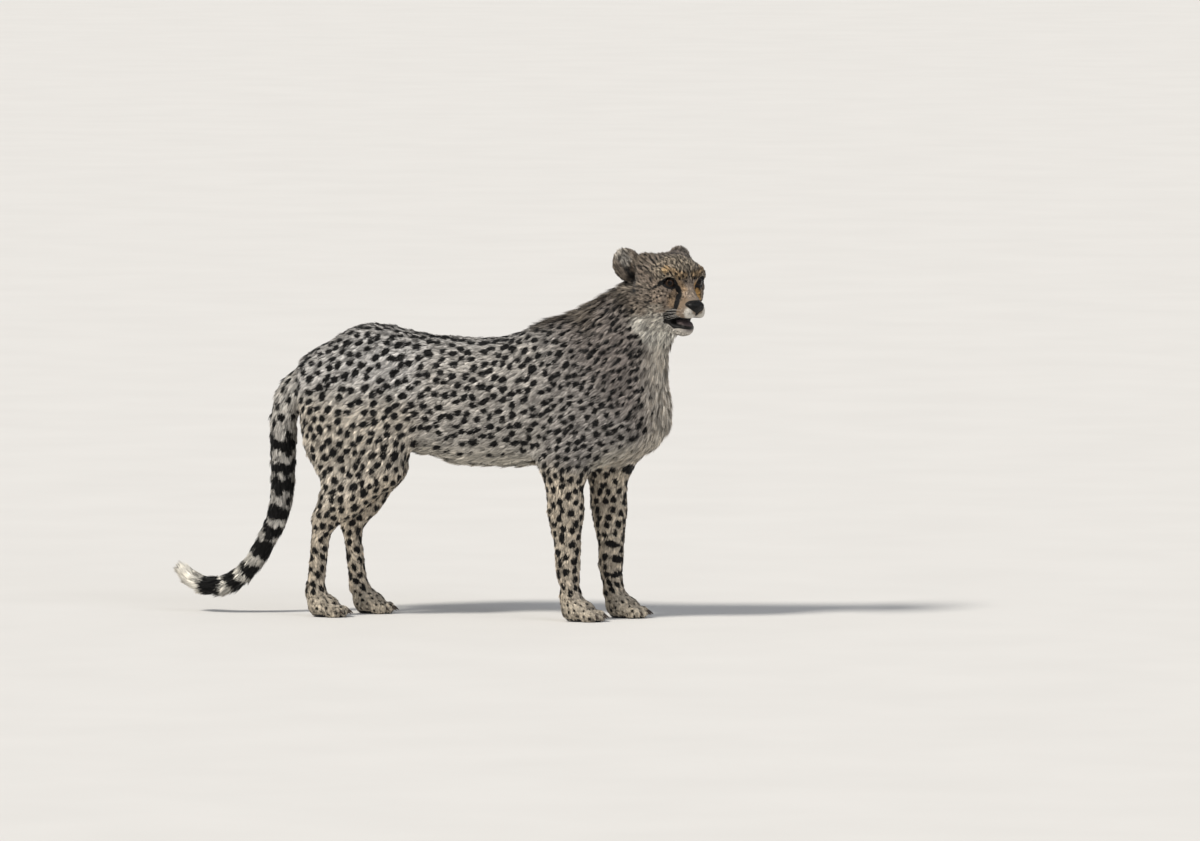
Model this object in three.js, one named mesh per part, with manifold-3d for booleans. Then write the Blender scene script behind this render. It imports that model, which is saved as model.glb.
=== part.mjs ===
// A young cheetah standing alert, head turned to its right, life size.
//
// Millimetres, +X towards the animal's front, +Y to its left, +Z up. The paws stand on Z = 0 and the origin is
// on that level, under the middle of the whole outline.
//
// Each region of the body is an implicit field: tapered elliptical limbs and muscles joined by smooth unions.
// The field is turned into a faceted solid by surface nets, as finely as the region needs, and the solids are
// then parted by thin cuts into named pieces that meet with a small gap.

import * as THREE from "three";
import { mergeVertices } from "three/addons/utils/BufferGeometryUtils.js";
import Module from "manifold-3d";

// ---- driving dimensions ----------------------------------------------------------------------------------

const GAP = 0.3; // clearance of every cut
const LEFT = 1;
const RIGHT = -1;
const SIDES = { left: LEFT, right: RIGHT };

// facet sizes along X, Y and Z, by region
const FACET = {
  trunk: [46, 28, 28],
  thigh: [24, 18, 30],
  leg: [18, 15, 30],
  paw: [17, 14, 19],
  head: [13.5, 13.5, 13.5],
};

// the head's own frame: its origin is on the middle plane at eye level, its X runs out of the face
const HEAD = { x: 419, y: -36, z: 681, yaw: -40, pitch: 4 };
const EYE = { x: 33, y: 34, z: 1, radius: 14 };
const NOSE = { x: 79, z: -43, length: 13, width: 20, height: 12.5 };
const MOUTH = { corner: 41, cornerZ: -73, cornerOpen: 8.5, front: 98, frontZ: -78, frontOpen: 10.5 };
const TONGUE = { x: 42, z: -82, length: 28, width: 13.5, height: 11 };
const EAR = { x: -53, y: 49, z: 5, width: 30, height: 35.5, depth: 14, wall: 5 };
const EAR_TURN = { out: { [RIGHT]: 24, [LEFT]: 6 }, back: -18, lean: -36 }; // degrees

// legs, as the ground position of each joint, in side view
const FORE = {
  [RIGHT]: { elbow: 202, wrist: 212, paw: 236 },
  [LEFT]: { elbow: 268, wrist: 277, paw: 304 },
};
const HIND = {
  [RIGHT]: { knee: -164, hock: -295, pastern: -306, paw: -285 },
  [LEFT]: { knee: -178, hock: -256, pastern: -240, paw: -215 },
};
const ELBOW_Z = 312;
const WRIST_Z = 104;
const KNEE_Z = 292;
const HOCK_Z = 182;
const PASTERN_Z = 44;
const FORE_TRACK = 53; // from the middle plane to the middle of a forearm
const HIND_TRACK = 51;
const HIP_TRACK = 46;
const PAW_SIZE = { fore: 1.06, hind: 0.98 };

// the space that holds each region's surface, as its lowest and highest corners
const TRUNK_BOX = [[-430, -154, 232], [460, 154, 760]];
const HEAD_BOX = [[-84, -94.5, -126], [110, 94.5, 84]]; // in the head's own frame
const LEG_ASIDE = 130; // from the middle plane
const BEHIND_PAW = 110;
const AHEAD_OF_PAW = { fore: 90, hind: 80 };
const HAUNCH_REACH = [-345, -75];
const LEG_TOP = { forearm: 360, forepaw: 140, thigh: 460, hindpaw: 200 };

// ---- fields ----------------------------------------------------------------------------------------------

const Y_AXIS = [0, 1, 0];
const mix = (a, b, t) => a + (b - a) * t;

// smooth minimum: joins two surfaces with a fillet about k wide
function join(a, b, k) {
  const h = Math.max(k - Math.abs(a - b), 0) / k;
  return Math.min(a, b) - h * h * k * 0.25;
}

// A tapered limb from p to q. Each end has a radius in the plane of the limb and one across it, along `across`.
function limb(p, q, [deepP, wideP], [deepQ, wideQ], across = Y_AXIS) {
  const d = [q[0] - p[0], q[1] - p[1], q[2] - p[2]];
  const dd = d[0] * d[0] + d[1] * d[1] + d[2] * d[2] || 1;
  return (x, y, z) => {
    const e = [x - p[0], y - p[1], z - p[2]];
    const along = (e[0] * d[0] + e[1] * d[1] + e[2] * d[2]) / dd;
    const t = Math.min(1, Math.max(0, along));
    const r = [e[0] - t * d[0], e[1] - t * d[1], e[2] - t * d[2]];
    const side = r[0] * across[0] + r[1] * across[1] + r[2] * across[2];
    const flat2 = Math.max(0, r[0] * r[0] + r[1] * r[1] + r[2] * r[2] - side * side);
    const deep = mix(deepP, deepQ, t);
    const wide = mix(wideP, wideQ, t);
    return (Math.sqrt(flat2 / (deep * deep) + (side * side) / (wide * wide)) - 1) * Math.min(deep, wide);
  };
}

// An ellipsoid with radii along X, Y and Z.
function lump([cx, cy, cz], [rx, ry, rz]) {
  const least = Math.min(rx, ry, rz);
  return (x, y, z) => (Math.hypot((x - cx) / rx, (y - cy) / ry, (z - cz) / rz) - 1) * least;
}

// Joins shapes in order, each with the fillet given beside it.
function blend(shapes) {
  return (x, y, z) => shapes.reduce((d, [shape, k]) => join(d, shape(x, y, z), k), 1e3);
}

// The same shape on both sides of the middle plane.
const both = (make) => [make(LEFT), make(RIGHT)];

// ---- the body's regions ----------------------------------------------------------------------------------

const trunkShapes = [
  [limb([300, 0, 430], [225, 0, 440], [78, 50], [108, 62]), 20],
  [limb([225, 0, 440], [112, 0, 436], [108, 62], [124, 71]), 20],
  [limb([112, 0, 436], [0, 0, 435], [124, 71], [123, 72]), 20],
  [limb([0, 0, 435], [-95, 0, 452], [123, 72], [111, 62]), 20],
  [limb([-95, 0, 452], [-188, 0, 474], [111, 62], [92, 56]), 20],
  [limb([-188, 0, 474], [-268, 0, 461], [92, 56], [68, 42]), 20],
  // withers
  [limb([140, 0, 514], [235, 0, 520], [40, 30], [60, 40]), 40],
];

const neckShapes = [
  [limb([240, 0, 492], [370, -4, 622], [90, 60], [62, 57]), 46],
  // the deep, long-haired front of the chest
  [limb([346, -2, 545], [322, 0, 412], [54, 46], [72, 50]), 40],
  [limb([322, 0, 412], [286, 0, 376], [70, 50], [56, 46]), 30],
  // mane along the nape
  [limb([140, 0, 547], [262, 1, 596], [20, 20], [24, 30]), 30],
  [limb([262, 1, 596], [322, -2, 640], [24, 30], [26, 38]), 30],
];

function shoulder(side) {
  const forward = (FORE[side].elbow - FORE[RIGHT].elbow) * 0.4;
  const elbow = FORE[side].elbow;
  const point = 302 + forward;
  return [
    [limb([176, side * 38, 522], [262 + forward, side * 48, 450], [40, 20], [58, 24]), 46],
    [limb([262 + forward, side * 47, 450], [point, side * 46, 405], [56, 24], [44, 26]), 40],
    [limb([point, side * 46, 402], [elbow + 16, side * 51, ELBOW_Z + 10], [44, 28], [38, 29]), 34],
    [limb([205 + forward, side * 47, 436], [elbow - 8, side * 51, ELBOW_Z + 14], [52, 25], [31, 25]), 34],
  ];
}

function forearm(side) {
  const { elbow, wrist } = FORE[side];
  const y = side * FORE_TRACK;
  const middle = mix(elbow, wrist, 0.45) + 1;
  return [
    [limb([elbow + 3, y, ELBOW_Z + 4], [middle, y, 220], [39, 30], [34.5, 27]), 26],
    [limb([middle, y, 220], [wrist, y, WRIST_Z + 16], [34.5, 28], [25, 24]), 20],
    [limb([elbow - 23, y, ELBOW_Z], [middle - 14, y, 250], [17, 17], [15, 15]), 18],
    [lump([wrist + 1, y, WRIST_Z], [24, 23.5, 22]), 14],
    [limb([wrist - 1, y, WRIST_Z], [wrist + 7, y, 46], [20.5, 22], [20.5, 24]), 14],
    // the carpal pad behind the wrist
    [limb([wrist - 18, y, WRIST_Z - 6], [wrist - 14, y, WRIST_Z - 20], [9, 10], [7, 8]), 10],
  ];
}

function thigh(side) {
  const { knee } = HIND[side];
  const y = side * HIP_TRACK;
  const rear = knee - 96;
  const middle = mix(-232, knee, 0.36);
  return [
    [limb([-196, side * 30, 514], [-226, side * 38, 462], [48, 24], [78, 28]), 44],
    [limb([-226, side * 38, 462], [middle, y - side * 2, 385], [78, 28], [70, 29]), 36],
    [limb([middle, y - side * 2, 385], [knee - 8, y + side * 6, KNEE_Z + 14], [66, 29], [36, 27]), 34],
    // hamstrings, from the seat down the back of the shank
    [limb([-288, side * 26, 438], [rear - 14, y, 352], [42, 24], [38, 24]), 36],
    [limb([rear - 14, y, 352], [rear - 2, y + side * 4, 262], [38, 24], [28, 22]), 30],
  ];
}

function shank(side) {
  const { knee, hock, pastern } = HIND[side];
  const y = side * HIND_TRACK;
  const low = mix(knee, hock, 0.6);
  return [
    [limb([knee, y + side * 2, KNEE_Z], [low, y + side, 228], [34, 27], [30, 24]), 26],
    [limb([low, y + side, 228], [hock + 12, y, HOCK_Z + 10], [30, 24], [22, 20]), 22],
    // the heel tendon, up to the calf
    [limb([hock - 8, y, HOCK_Z + 10], [mix(knee, hock, 0.74), y + side, 262], [11.5, 12], [26, 21]), 18],
    [lump([hock - 1, y, HOCK_Z], [22, 20, 23]), 14],
    [limb([hock + 2, y, HOCK_Z - 6], [pastern, y, PASTERN_Z + 6], [20, 19.5], [19, 22]), 14],
  ];
}

// A paw's four toes fan a little, the middle two ahead. Each ends in a blunt claw.
const TOES = [
  { y: -21, x: 20, turn: -9 },
  { y: -7.8, x: 32, turn: -3 },
  { y: 7.8, x: 32, turn: 3 },
  { y: 21, x: 20, turn: 9 },
];
const TOE = { length: 18, width: 10, height: 13.5, z: 11.5 };
const CLAW = { length: 20, root: 4.2, tip: 1, z: 11.5, drop: 22, sunk: 7 }; // drop in degrees

function pawShapes(x, y, size) {
  const shapes = [
    [lump([x - 2, y, 21], [33 * size, 26 * size, 23]), 8],
    [limb([x - 22, y, 46], [x - 6, y, 24], [19, 21 * size], [21, 25 * size]), 16],
  ];
  for (const toe of TOES) {
    const centre = [x + toe.x * size, y + toe.y * size, TOE.z];
    shapes.push([lump(centre, [TOE.length, TOE.width * size, TOE.height]), 5]);
  }
  return shapes;
}

// The tail hangs from the rump, swings back above the ground and lifts at its tip.
const TAIL_LINE = new THREE.CatmullRomCurve3(
  [
    [-250, 0, 495],
    [-313, 0, 483],
    [-358, -1, 451],
    [-380, -3, 392],
    [-382, -4, 325],
    [-383, -5, 262],
    [-391, -5, 205],
    [-418, -5, 145],
    [-452, -4, 92],
    [-502, -2, 56],
    [-556, 0, 58],
    [-594, 2, 86],
  ].map((p) => new THREE.Vector3(...p)),
);
const TAIL_ROOT_STEPS = 5; // of its field, in the rump
const TAIL_STEPS = 20;

// radius out to the tips of the coat, at t from root to tip
function tailRadius(t) {
  const taper = mix(36, 19, Math.min(1, t * 1.3));
  const root = Math.max(0, 1 - t / 0.3);
  const tip = Math.max(0, (t - 0.9) / 0.1);
  return (taper + 6 * root) * mix(1, 0.62, tip * tip);
}

const tailRoot = [];
for (let i = 0; i < TAIL_ROOT_STEPS; i++) {
  const [s, t] = [i / TAIL_STEPS, (i + 1) / TAIL_STEPS];
  const [p, q] = [s, t].map((u) => TAIL_LINE.getPointAt(u).toArray());
  tailRoot.push([limb(p, q, [tailRadius(s), tailRadius(s)], [tailRadius(t), tailRadius(t)]), 22]);
}

const bodyField = blend([
  ...trunkShapes,
  ...neckShapes,
  ...both(shoulder).flat(),
  ...both(thigh).flat(),
  ...both(forearm).flat(),
  ...both(shank).flat(),
  ...both((s) => pawShapes(FORE[s].paw, s * FORE_TRACK, PAW_SIZE.fore)).flat(),
  ...both((s) => pawShapes(HIND[s].paw, s * HIND_TRACK, PAW_SIZE.hind)).flat(),
  ...tailRoot,
]);

// ---- the head, in its own frame ---------------------------------------------------------------------------

const degrees = THREE.MathUtils.degToRad;
const turned = (x, y, z, [turnZ, turnY, turnX]) =>
  new THREE.Matrix4()
    .makeTranslation(x, y, z)
    .multiply(new THREE.Matrix4().makeRotationZ(degrees(turnZ)))
    .multiply(new THREE.Matrix4().makeRotationY(degrees(turnY)))
    .multiply(new THREE.Matrix4().makeRotationX(degrees(turnX)));

const headFrame = turned(HEAD.x, HEAD.y, HEAD.z, [HEAD.yaw, HEAD.pitch, 0]);

// A field given in `frame`, read from the frame around it.
function placed(field, frame) {
  const m = frame.clone().invert().elements;
  return (x, y, z) =>
    field(
      m[0] * x + m[4] * y + m[8] * z + m[12],
      m[1] * x + m[5] * y + m[9] * z + m[13],
      m[2] * x + m[6] * y + m[10] * z + m[14],
    );
}

const skull = blend([
  [lump([-15, 0, 6], [57, 59, 42]), 10],
  [lump([17, 0, 14], [34, 48, 33]), 22],
  // fuller hair before the ears
  ...both((s) => [lump([-34, s * 36, 28], [27, 22, 20]), 16]),
  // cheeks, and the ruff behind the jaw
  ...both((s) => [lump([7, s * 38, -27], [37, 26, 34]), 22]),
  ...both((s) => [lump([-30, s * 34, -40], [34, 27, 46]), 24]),
  [lump([-18, 0, -66], [46, 44, 34]), 26],
  // brow ridges over the eyes
  ...both((s) => [limb([42, s * 16, 19], [28, s * 46, 15], [12, 12], [12, 12]), 12]),
  // nose bridge
  [limb([36, 0, -8], [76, 0, -41], [21, 18], [13, 14]), 16],
  // muzzle and whisker pads
  [limb([26, 0, -40], [60, 0, -50], [32, 36], [19, 26]), 16],
  ...both((s) => [lump([66, s * 13.5, -54.5], [19, 16, 17]), 9]),
]);

const jaw = blend([
  ...both((s) => [limb([-10, s * 32, -62], [39, s * 11, -87], [20, 14], [12, 12]), 16]),
  [lump([47, 0, -91], [18.5, 18, 14.5]), 12],
  [limb([-14, 0, -74], [38, 0, -87], [18, 28], [11, 13]), 14],
]);

// the open mouth is a slot between the lips, right through from cheek to cheek, with the tongue in it
const MOUTH_WIDE = 60;
const mouth = limb(
  [MOUTH.corner, 0, MOUTH.cornerZ],
  [MOUTH.front, 0, MOUTH.frontZ],
  [MOUTH.cornerOpen, MOUTH_WIDE],
  [MOUTH.frontOpen, MOUTH_WIDE],
);
const tongue = lump([TONGUE.x, 0, TONGUE.z], [TONGUE.length, TONGUE.width, TONGUE.height]);

const eyeSocket = (s) => lump([EYE.x + 8, s * (EYE.y + 5), EYE.z], [13, 12.5, 9.5]);

function headField(x, y, z) {
  let d = join(skull(x, y, z), jaw(x, y, z), 7);
  d = -join(-d, mouth(x, y, z), 4);
  d = join(d, tongue(x, y, z), 3);
  for (const s of [LEFT, RIGHT]) d = -join(-d, eyeSocket(s)(x, y, z), 8);
  return d;
}

// ---- surface nets ----------------------------------------------------------------------------------------

// a cell's eight corners, and its twelve edges as pairs of corners
const CORNERS = [0, 1, 2, 3, 4, 5, 6, 7].map((i) => [i & 1, (i >> 1) & 1, (i >> 2) & 1]);
const EDGES = [1, 2, 4].flatMap((bit) => {
  const starts = CORNERS.map((_, corner) => corner).filter((corner) => !(corner & bit));
  return starts.map((corner) => [corner, corner | bit]);
});

// the corners of a cell that must not be split crosswise: round each face, and across each body diagonal
const CROSSINGS = [
  [0, 1, 3, 2],
  [4, 5, 7, 6],
  [0, 1, 5, 4],
  [2, 3, 7, 6],
  [0, 2, 6, 4],
  [1, 3, 7, 5],
];
const DIAGONALS = [
  [0, 7],
  [1, 6],
  [2, 5],
  [3, 4],
];

// The corner to move to the other side where a cell's surface would touch itself, or -1.
function tangledCorner(v) {
  const inside = v.map((d) => d < 0);
  const least = (corners) => corners.reduce((a, b) => (Math.abs(v[a]) < Math.abs(v[b]) ? a : b));
  for (const loop of CROSSINGS) {
    const [a, b, c, d] = loop.map((i) => inside[i]);
    if (a === c && b === d && a !== b) return least(loop);
  }
  for (const side of [true, false]) {
    if (inside.filter((s) => s === side).length !== 2) continue;
    const pair = DIAGONALS.find(([a, b]) => inside[a] === side && inside[b] === side);
    if (pair) return least(pair);
  }
  return -1;
}

function gradient(field, [x, y, z], h) {
  return [
    (field(x + h, y, z) - field(x - h, y, z)) / (2 * h),
    (field(x, y + h, z) - field(x, y - h, z)) / (2 * h),
    (field(x, y, z + h) - field(x, y, z - h)) / (2 * h),
  ];
}

// Moves a point onto the field's zero surface, by `most` at the farthest.
const SETTLE_STEPS = 4;
const SETTLE_RATE = 0.9;

function settle(field, point, most) {
  const start = [...point];
  for (let step = 0; step < SETTLE_STEPS; step++) {
    const g = gradient(field, point, most * 0.1);
    const d = field(...point) / (g[0] * g[0] + g[1] * g[1] + g[2] * g[2] + 1e-9);
    for (let i = 0; i < 3; i++) point[i] -= d * g[i] * SETTLE_RATE;
  }
  const moved = Math.hypot(...point.map((v, i) => v - start[i]));
  return moved > most ? start.map((v, i) => mix(v, point[i], most / moved)) : point;
}

// Calls visit(i, j, k) for every cell of a grid with n corners each way.
function eachCell(n, visit) {
  for (let k = 0; k < n[2] - 1; k++)
    for (let j = 0; j < n[1] - 1; j++)
      for (let i = 0; i < n[0] - 1; i++) visit(i, j, k);
}

const RIM = 0.2; // how far outside the surface the grid's rim is held, as a share of the least facet
const NUDGE = 0.02; // how far a corner goes over to the other side

// The field's values at the corners of a grid, with no cell whose surface would touch itself.
function gridValues(field, low, facet, n, at) {
  const least = Math.min(...facet);
  const value = new Float64Array(n[0] * n[1] * n[2]);
  eachCell(n.map((v) => v + 1), (i, j, k) => {
    const rim = !i || !j || !k || i === n[0] - 1 || j === n[1] - 1 || k === n[2] - 1;
    const d = field(low[0] + i * facet[0], low[1] + j * facet[1], low[2] + k * facet[2]);
    value[at(i, j, k)] = rim ? Math.max(d, least * RIM) : d;
  });
  for (let changed = true; changed; ) {
    changed = false;
    eachCell(n, (i, j, k) => {
      const corners = CORNERS.map(([a, b, c]) => at(i + a, j + b, k + c));
      const tangled = tangledCorner(corners.map((c) => value[c]));
      if (tangled < 0) return;
      value[corners[tangled]] = least * (value[corners[tangled]] < 0 ? NUDGE : -NUDGE);
      changed = true;
    });
  }
  return value;
}

// The middle of a cell's crossings with the surface, in cells from the cell's first corner, or null.
function crossing(v) {
  const sum = [0, 0, 0];
  let crossings = 0;
  for (const [a, b] of EDGES) {
    if (v[a] < 0 === v[b] < 0) continue;
    const t = v[a] / (v[a] - v[b]);
    for (let c = 0; c < 3; c++) sum[c] += mix(CORNERS[a][c], CORNERS[b][c], t);
    crossings++;
  }
  return crossings ? sum.map((s) => s / crossings) : null;
}

// The zero surface of a field inside a box, as a closed indexed geometry, from cells of one size.
function polygonise(field, low, high, facet) {
  const n = low.map((v, i) => Math.ceil((high[i] - v) / facet[i]) + 1);
  const at = (i, j, k) => (k * n[1] + j) * n[0] + i;
  const value = gridValues(field, low, facet, n, at);
  const vertexOf = new Int32Array(value.length).fill(-1);
  const points = [];
  eachCell(n, (i, j, k) => {
    const middle = crossing(CORNERS.map(([a, b, c]) => value[at(i + a, j + b, k + c)]));
    if (!middle) return;
    const point = [i, j, k].map((cell, c) => low[c] + (cell + middle[c]) * facet[c]);
    vertexOf[at(i, j, k)] = points.length;
    points.push(settle(field, point, Math.min(...facet) / 2));
  });
  const index = [];
  const gap = (a, b) => Math.hypot(...points[a].map((v, c) => v - points[b][c]));
  const quad = (a, b, c, d, flip) => {
    const [p, q, r, s] = flip ? [a, d, c, b] : [a, b, c, d];
    if (gap(p, r) <= gap(q, s)) index.push(p, q, r, p, r, s);
    else index.push(q, r, s, q, s, p);
  };
  eachCell(n, (i, j, k) => {
    const inside = value[at(i, j, k)] < 0;
    const leaves = (a, b, c) => inside !== value[at(i + a, j + b, k + c)] < 0;
    const cell = (a, b, c) => vertexOf[at(i - a, j - b, k - c)];
    if (leaves(1, 0, 0)) quad(cell(0, 0, 0), cell(0, 1, 0), cell(0, 1, 1), cell(0, 0, 1), !inside);
    if (leaves(0, 1, 0)) quad(cell(0, 0, 0), cell(0, 0, 1), cell(1, 0, 1), cell(1, 0, 0), !inside);
    if (leaves(0, 0, 1)) quad(cell(0, 0, 0), cell(1, 0, 0), cell(1, 1, 0), cell(0, 1, 0), !inside);
  });
  return new THREE.BufferGeometry()
    .setAttribute("position", new THREE.Float32BufferAttribute(points.flat(), 3))
    .setIndex(index);
}

// ---- solids ----------------------------------------------------------------------------------------------

const wasm = await Module();
wasm.setup();

function solid(geometry) {
  const bare = new THREE.BufferGeometry().setAttribute("position", geometry.getAttribute("position"));
  bare.setIndex(geometry.index);
  const merged = mergeVertices(bare, 1e-3);
  return new wasm.Manifold(
    new wasm.Mesh({
      numProp: 3,
      vertProperties: new Float32Array(merged.attributes.position.array),
      triVerts: new Uint32Array(merged.index.array),
    }),
  );
}

function geometryOf(body) {
  const mesh = body.getMesh();
  const points = new Float32Array(mesh.numVert * 3);
  for (let i = 0; i < mesh.numVert; i++)
    points.set(mesh.vertProperties.subarray(i * mesh.numProp, i * mesh.numProp + 3), i * 3);
  const geometry = new THREE.BufferGeometry()
    .setAttribute("position", new THREE.BufferAttribute(points, 3))
    .setIndex(new THREE.BufferAttribute(mesh.triVerts, 1));
  geometry.computeVertexNormals();
  return geometry;
}

// Keeps the largest of a cut's pieces.
const largest = (body) => body.decompose().reduce((a, b) => (a.volume() > b.volume() ? a : b));

// A cutting plane. `ahead` keeps what lies on the side its normal points to, `behind` the rest, each half a
// gap clear of the plane.
function cut(point, normal, frame = new THREE.Matrix4()) {
  const p = new THREE.Vector3(...point).applyMatrix4(frame);
  const n = new THREE.Vector3(...normal).transformDirection(frame);
  const offset = n.dot(p);
  return {
    ahead: (body) => body.trimByPlane(n.toArray(), offset + GAP / 2),
    behind: (body) => body.trimByPlane(n.clone().negate().toArray(), GAP / 2 - offset),
  };
}

const CUTS = {
  head: cut([-44, 0, -40], [1, 0, 0.42], headFrame),
  neck: cut([268, 0, 500], [0.76, 0, 0.65]),
  chest: cut([62, 0, 430], [1, 0, 0]),
  loin: cut([-92, 0, 430], [1, 0, -0.08]),
  thigh: cut([-215, 0, 388], [0.3, 0, 1]),
  elbow: cut([0, 0, 305], [0, 0, 1]),
  wrist: cut([0, 0, 92], [0, 0, 1]),
  knee: cut([-200, 0, 262], [-0.55, 0, 1]),
  hock: cut([0, 0, 152], [0, 0, 1]),
  tailRoot: cut([-342, 0, 474], [1, 0, 0]),
  tailMid: cut([-380, 0, 300], [0, 0, 1]),
  tailTip: cut([-432, 0, 120], [0.5, 0, 0.86]),
  floor: cut([0, 0, -GAP / 2], [0, 0, 1]),
  middle: cut([0, 0, 0], [0, 1, 0]),
  // these three lie in the head's own frame
  headInHead: cut([-44, 0, -40], [1, 0, 0.42]),
  jawTop: cut([24, 0, -71], [0.1, 0, 1]),
  jawBack: cut([10, 0, 0], [1, 0, 0]),
};

// Cuts a body into the length between two planes.
const between = (body, first, last) => last.behind(first.ahead(body));

// A round body swept along a curve, closed at both ends.
function sweep(curve, radius, sides, steps) {
  const frames = curve.computeFrenetFrames(steps, false);
  const points = [];
  const index = [];
  for (let i = 0; i <= steps; i++) {
    const centre = curve.getPointAt(i / steps);
    for (let j = 0; j < sides; j++) {
      const angle = (2 * Math.PI * j) / sides;
      const out = frames.normals[i].clone().multiplyScalar(Math.cos(angle));
      out.addScaledVector(frames.binormals[i], Math.sin(angle));
      points.push(...centre.clone().addScaledVector(out, radius(i / steps)).toArray());
    }
  }
  for (let i = 0; i < steps; i++)
    for (let j = 0; j < sides; j++) {
      const [a, b] = [i * sides + j, i * sides + ((j + 1) % sides)];
      index.push(a, b, b + sides, a, b + sides, a + sides);
    }
  for (let j = 1; j < sides - 1; j++) {
    index.push(0, j + 1, j);
    const last = steps * sides;
    index.push(last, last + j, last + j + 1);
  }
  return new THREE.BufferGeometry()
    .setAttribute("position", new THREE.Float32BufferAttribute(points, 3))
    .setIndex(index);
}

function ellipsoid([x, y, z], [rx, ry, rz], around = 11, down = 7) {
  const geometry = new THREE.SphereGeometry(1, around, down);
  geometry.deleteAttribute("normal").deleteAttribute("uv");
  return mergeVertices(geometry, 1e-6).scale(rx, ry, rz).translate(x, y, z);
}

// ---- materials -------------------------------------------------------------------------------------------

const fur = (color) => new THREE.MeshStandardMaterial({ color, roughness: 0.9, metalness: 0 });
const BUFF = 0xb79c70;
const PALE = 0xcfc6b2;
const SMOKE = 0x4a4641;
const NOSE_BLACK = 0x1c1918;
const AMBER = 0x8a5a1f;
const gloss = (color, roughness) => new THREE.MeshStandardMaterial({ color, roughness, metalness: 0 });

function mesh(name, body, material) {
  const made = new THREE.Mesh(body.isBufferGeometry ? body : geometryOf(body), material);
  made.name = name;
  return made;
}

// ---- trunk and tail --------------------------------------------------------------------------------------

const HEAD_FILLET = 26;
const headInBody = placed(headField, headFrame);
const wholeField = (x, y, z) => join(bodyField(x, y, z), headInBody(x, y, z), HEAD_FILLET);

function trunk() {
  const body = CUTS.elbow.ahead(solid(polygonise(wholeField, ...TRUNK_BOX, FACET.trunk)));
  const rear = CUTS.thigh.ahead(CUTS.tailRoot.ahead(CUTS.loin.behind(body)));
  return [
    mesh("neck", between(body, CUTS.neck, CUTS.head), fur(BUFF)),
    mesh("chest", largest(between(body, CUTS.chest, CUTS.neck)), fur(BUFF)),
    mesh("loin", largest(between(body, CUTS.loin, CUTS.chest)), fur(BUFF)),
    mesh("hips", largest(rear), fur(BUFF)),
  ];
}

const TAIL_SIDES = 9;

function tail() {
  const whole = CUTS.tailRoot.behind(solid(sweep(TAIL_LINE, tailRadius, TAIL_SIDES, TAIL_STEPS)));
  return [
    mesh("tail_base", CUTS.tailMid.ahead(whole), fur(BUFF)),
    mesh("tail_middle", between(whole, CUTS.tailTip, CUTS.tailMid), fur(BUFF)),
    mesh("tail_tip", CUTS.tailTip.behind(whole), fur(PALE)),
  ];
}

// ---- legs ------------------------------------------------------------------------------------------------

// A leg's solid from its top down, on its own side of the middle plane.
function legSolid(side, [xLow, xHigh], top, facet) {
  const [wide, deep] = [facet[1], facet[2]];
  const [yLow, yHigh] = side > 0 ? [-wide, LEG_ASIDE] : [-LEG_ASIDE, wide];
  const body = solid(polygonise(wholeField, [xLow, yLow, -deep], [xHigh, yHigh, top], facet));
  const half = side > 0 ? CUTS.middle.ahead(body) : CUTS.middle.behind(body);
  return CUTS.floor.ahead(half);
}

function claws(pawX, y, size) {
  return TOES.map((toe) => {
    const cone = new THREE.CylinderGeometry(CLAW.tip, CLAW.root, CLAW.length, 4);
    cone.deleteAttribute("normal").deleteAttribute("uv");
    cone.rotateZ(-Math.PI / 2).rotateY(degrees(CLAW.drop)).rotateZ(degrees(toe.turn));
    const ahead = toe.x * size + TOE.length - CLAW.sunk;
    return solid(mergeVertices(cone, 1e-4).translate(pawX + ahead, y + toe.y * size, CLAW.z));
  });
}

function foot(leg, pawX, side, track, size) {
  return claws(pawX, side * track, size).reduce((a, b) => a.add(b), leg);
}

function foreleg(name, side) {
  const { paw } = FORE[side];
  const reach = [paw - BEHIND_PAW, paw + AHEAD_OF_PAW.fore];
  const upper = legSolid(side, reach, LEG_TOP.forearm, FACET.leg);
  const lower = legSolid(side, reach, LEG_TOP.forepaw, FACET.paw);
  const forepaw = foot(largest(CUTS.wrist.behind(lower)), paw, side, FORE_TRACK, PAW_SIZE.fore);
  return [
    mesh(`forearm_${name}`, largest(between(upper, CUTS.wrist, CUTS.elbow)), fur(BUFF)),
    mesh(`forepaw_${name}`, forepaw, fur(BUFF)),
  ];
}

function hindleg(name, side) {
  const { paw } = HIND[side];
  const reach = [paw - BEHIND_PAW, paw + AHEAD_OF_PAW.hind];
  const upper = CUTS.loin.behind(legSolid(side, HAUNCH_REACH, LEG_TOP.thigh, FACET.thigh));
  const lower = legSolid(side, reach, LEG_TOP.hindpaw, FACET.paw);
  const hindpaw = foot(largest(CUTS.hock.behind(lower)), paw, side, HIND_TRACK, PAW_SIZE.hind);
  return [
    mesh(`thigh_${name}`, largest(between(upper, CUTS.knee, CUTS.thigh)), fur(BUFF)),
    mesh(`shank_${name}`, largest(between(upper, CUTS.hock, CUTS.knee)), fur(BUFF)),
    mesh(`hindpaw_${name}`, hindpaw, fur(BUFF)),
  ];
}

// ---- head ------------------------------------------------------------------------------------------------

function earSolid(side) {
  const { width, height, depth, wall } = EAR;
  const pinna = ellipsoid([0, 0, height * 0.72], [depth, width, height]);
  const hollow = ellipsoid([depth + 5, 0, height * 0.8], [depth + 6, width - wall, height - wall]);
  const turn = [side * EAR_TURN.out[side], EAR_TURN.back, side * EAR_TURN.lean];
  const frame = turned(EAR.x, side * EAR.y, EAR.z, turn);
  const cup = solid(pinna).subtract(solid(hollow));
  return solid(geometryOf(cup).applyMatrix4(frame));
}

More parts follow.
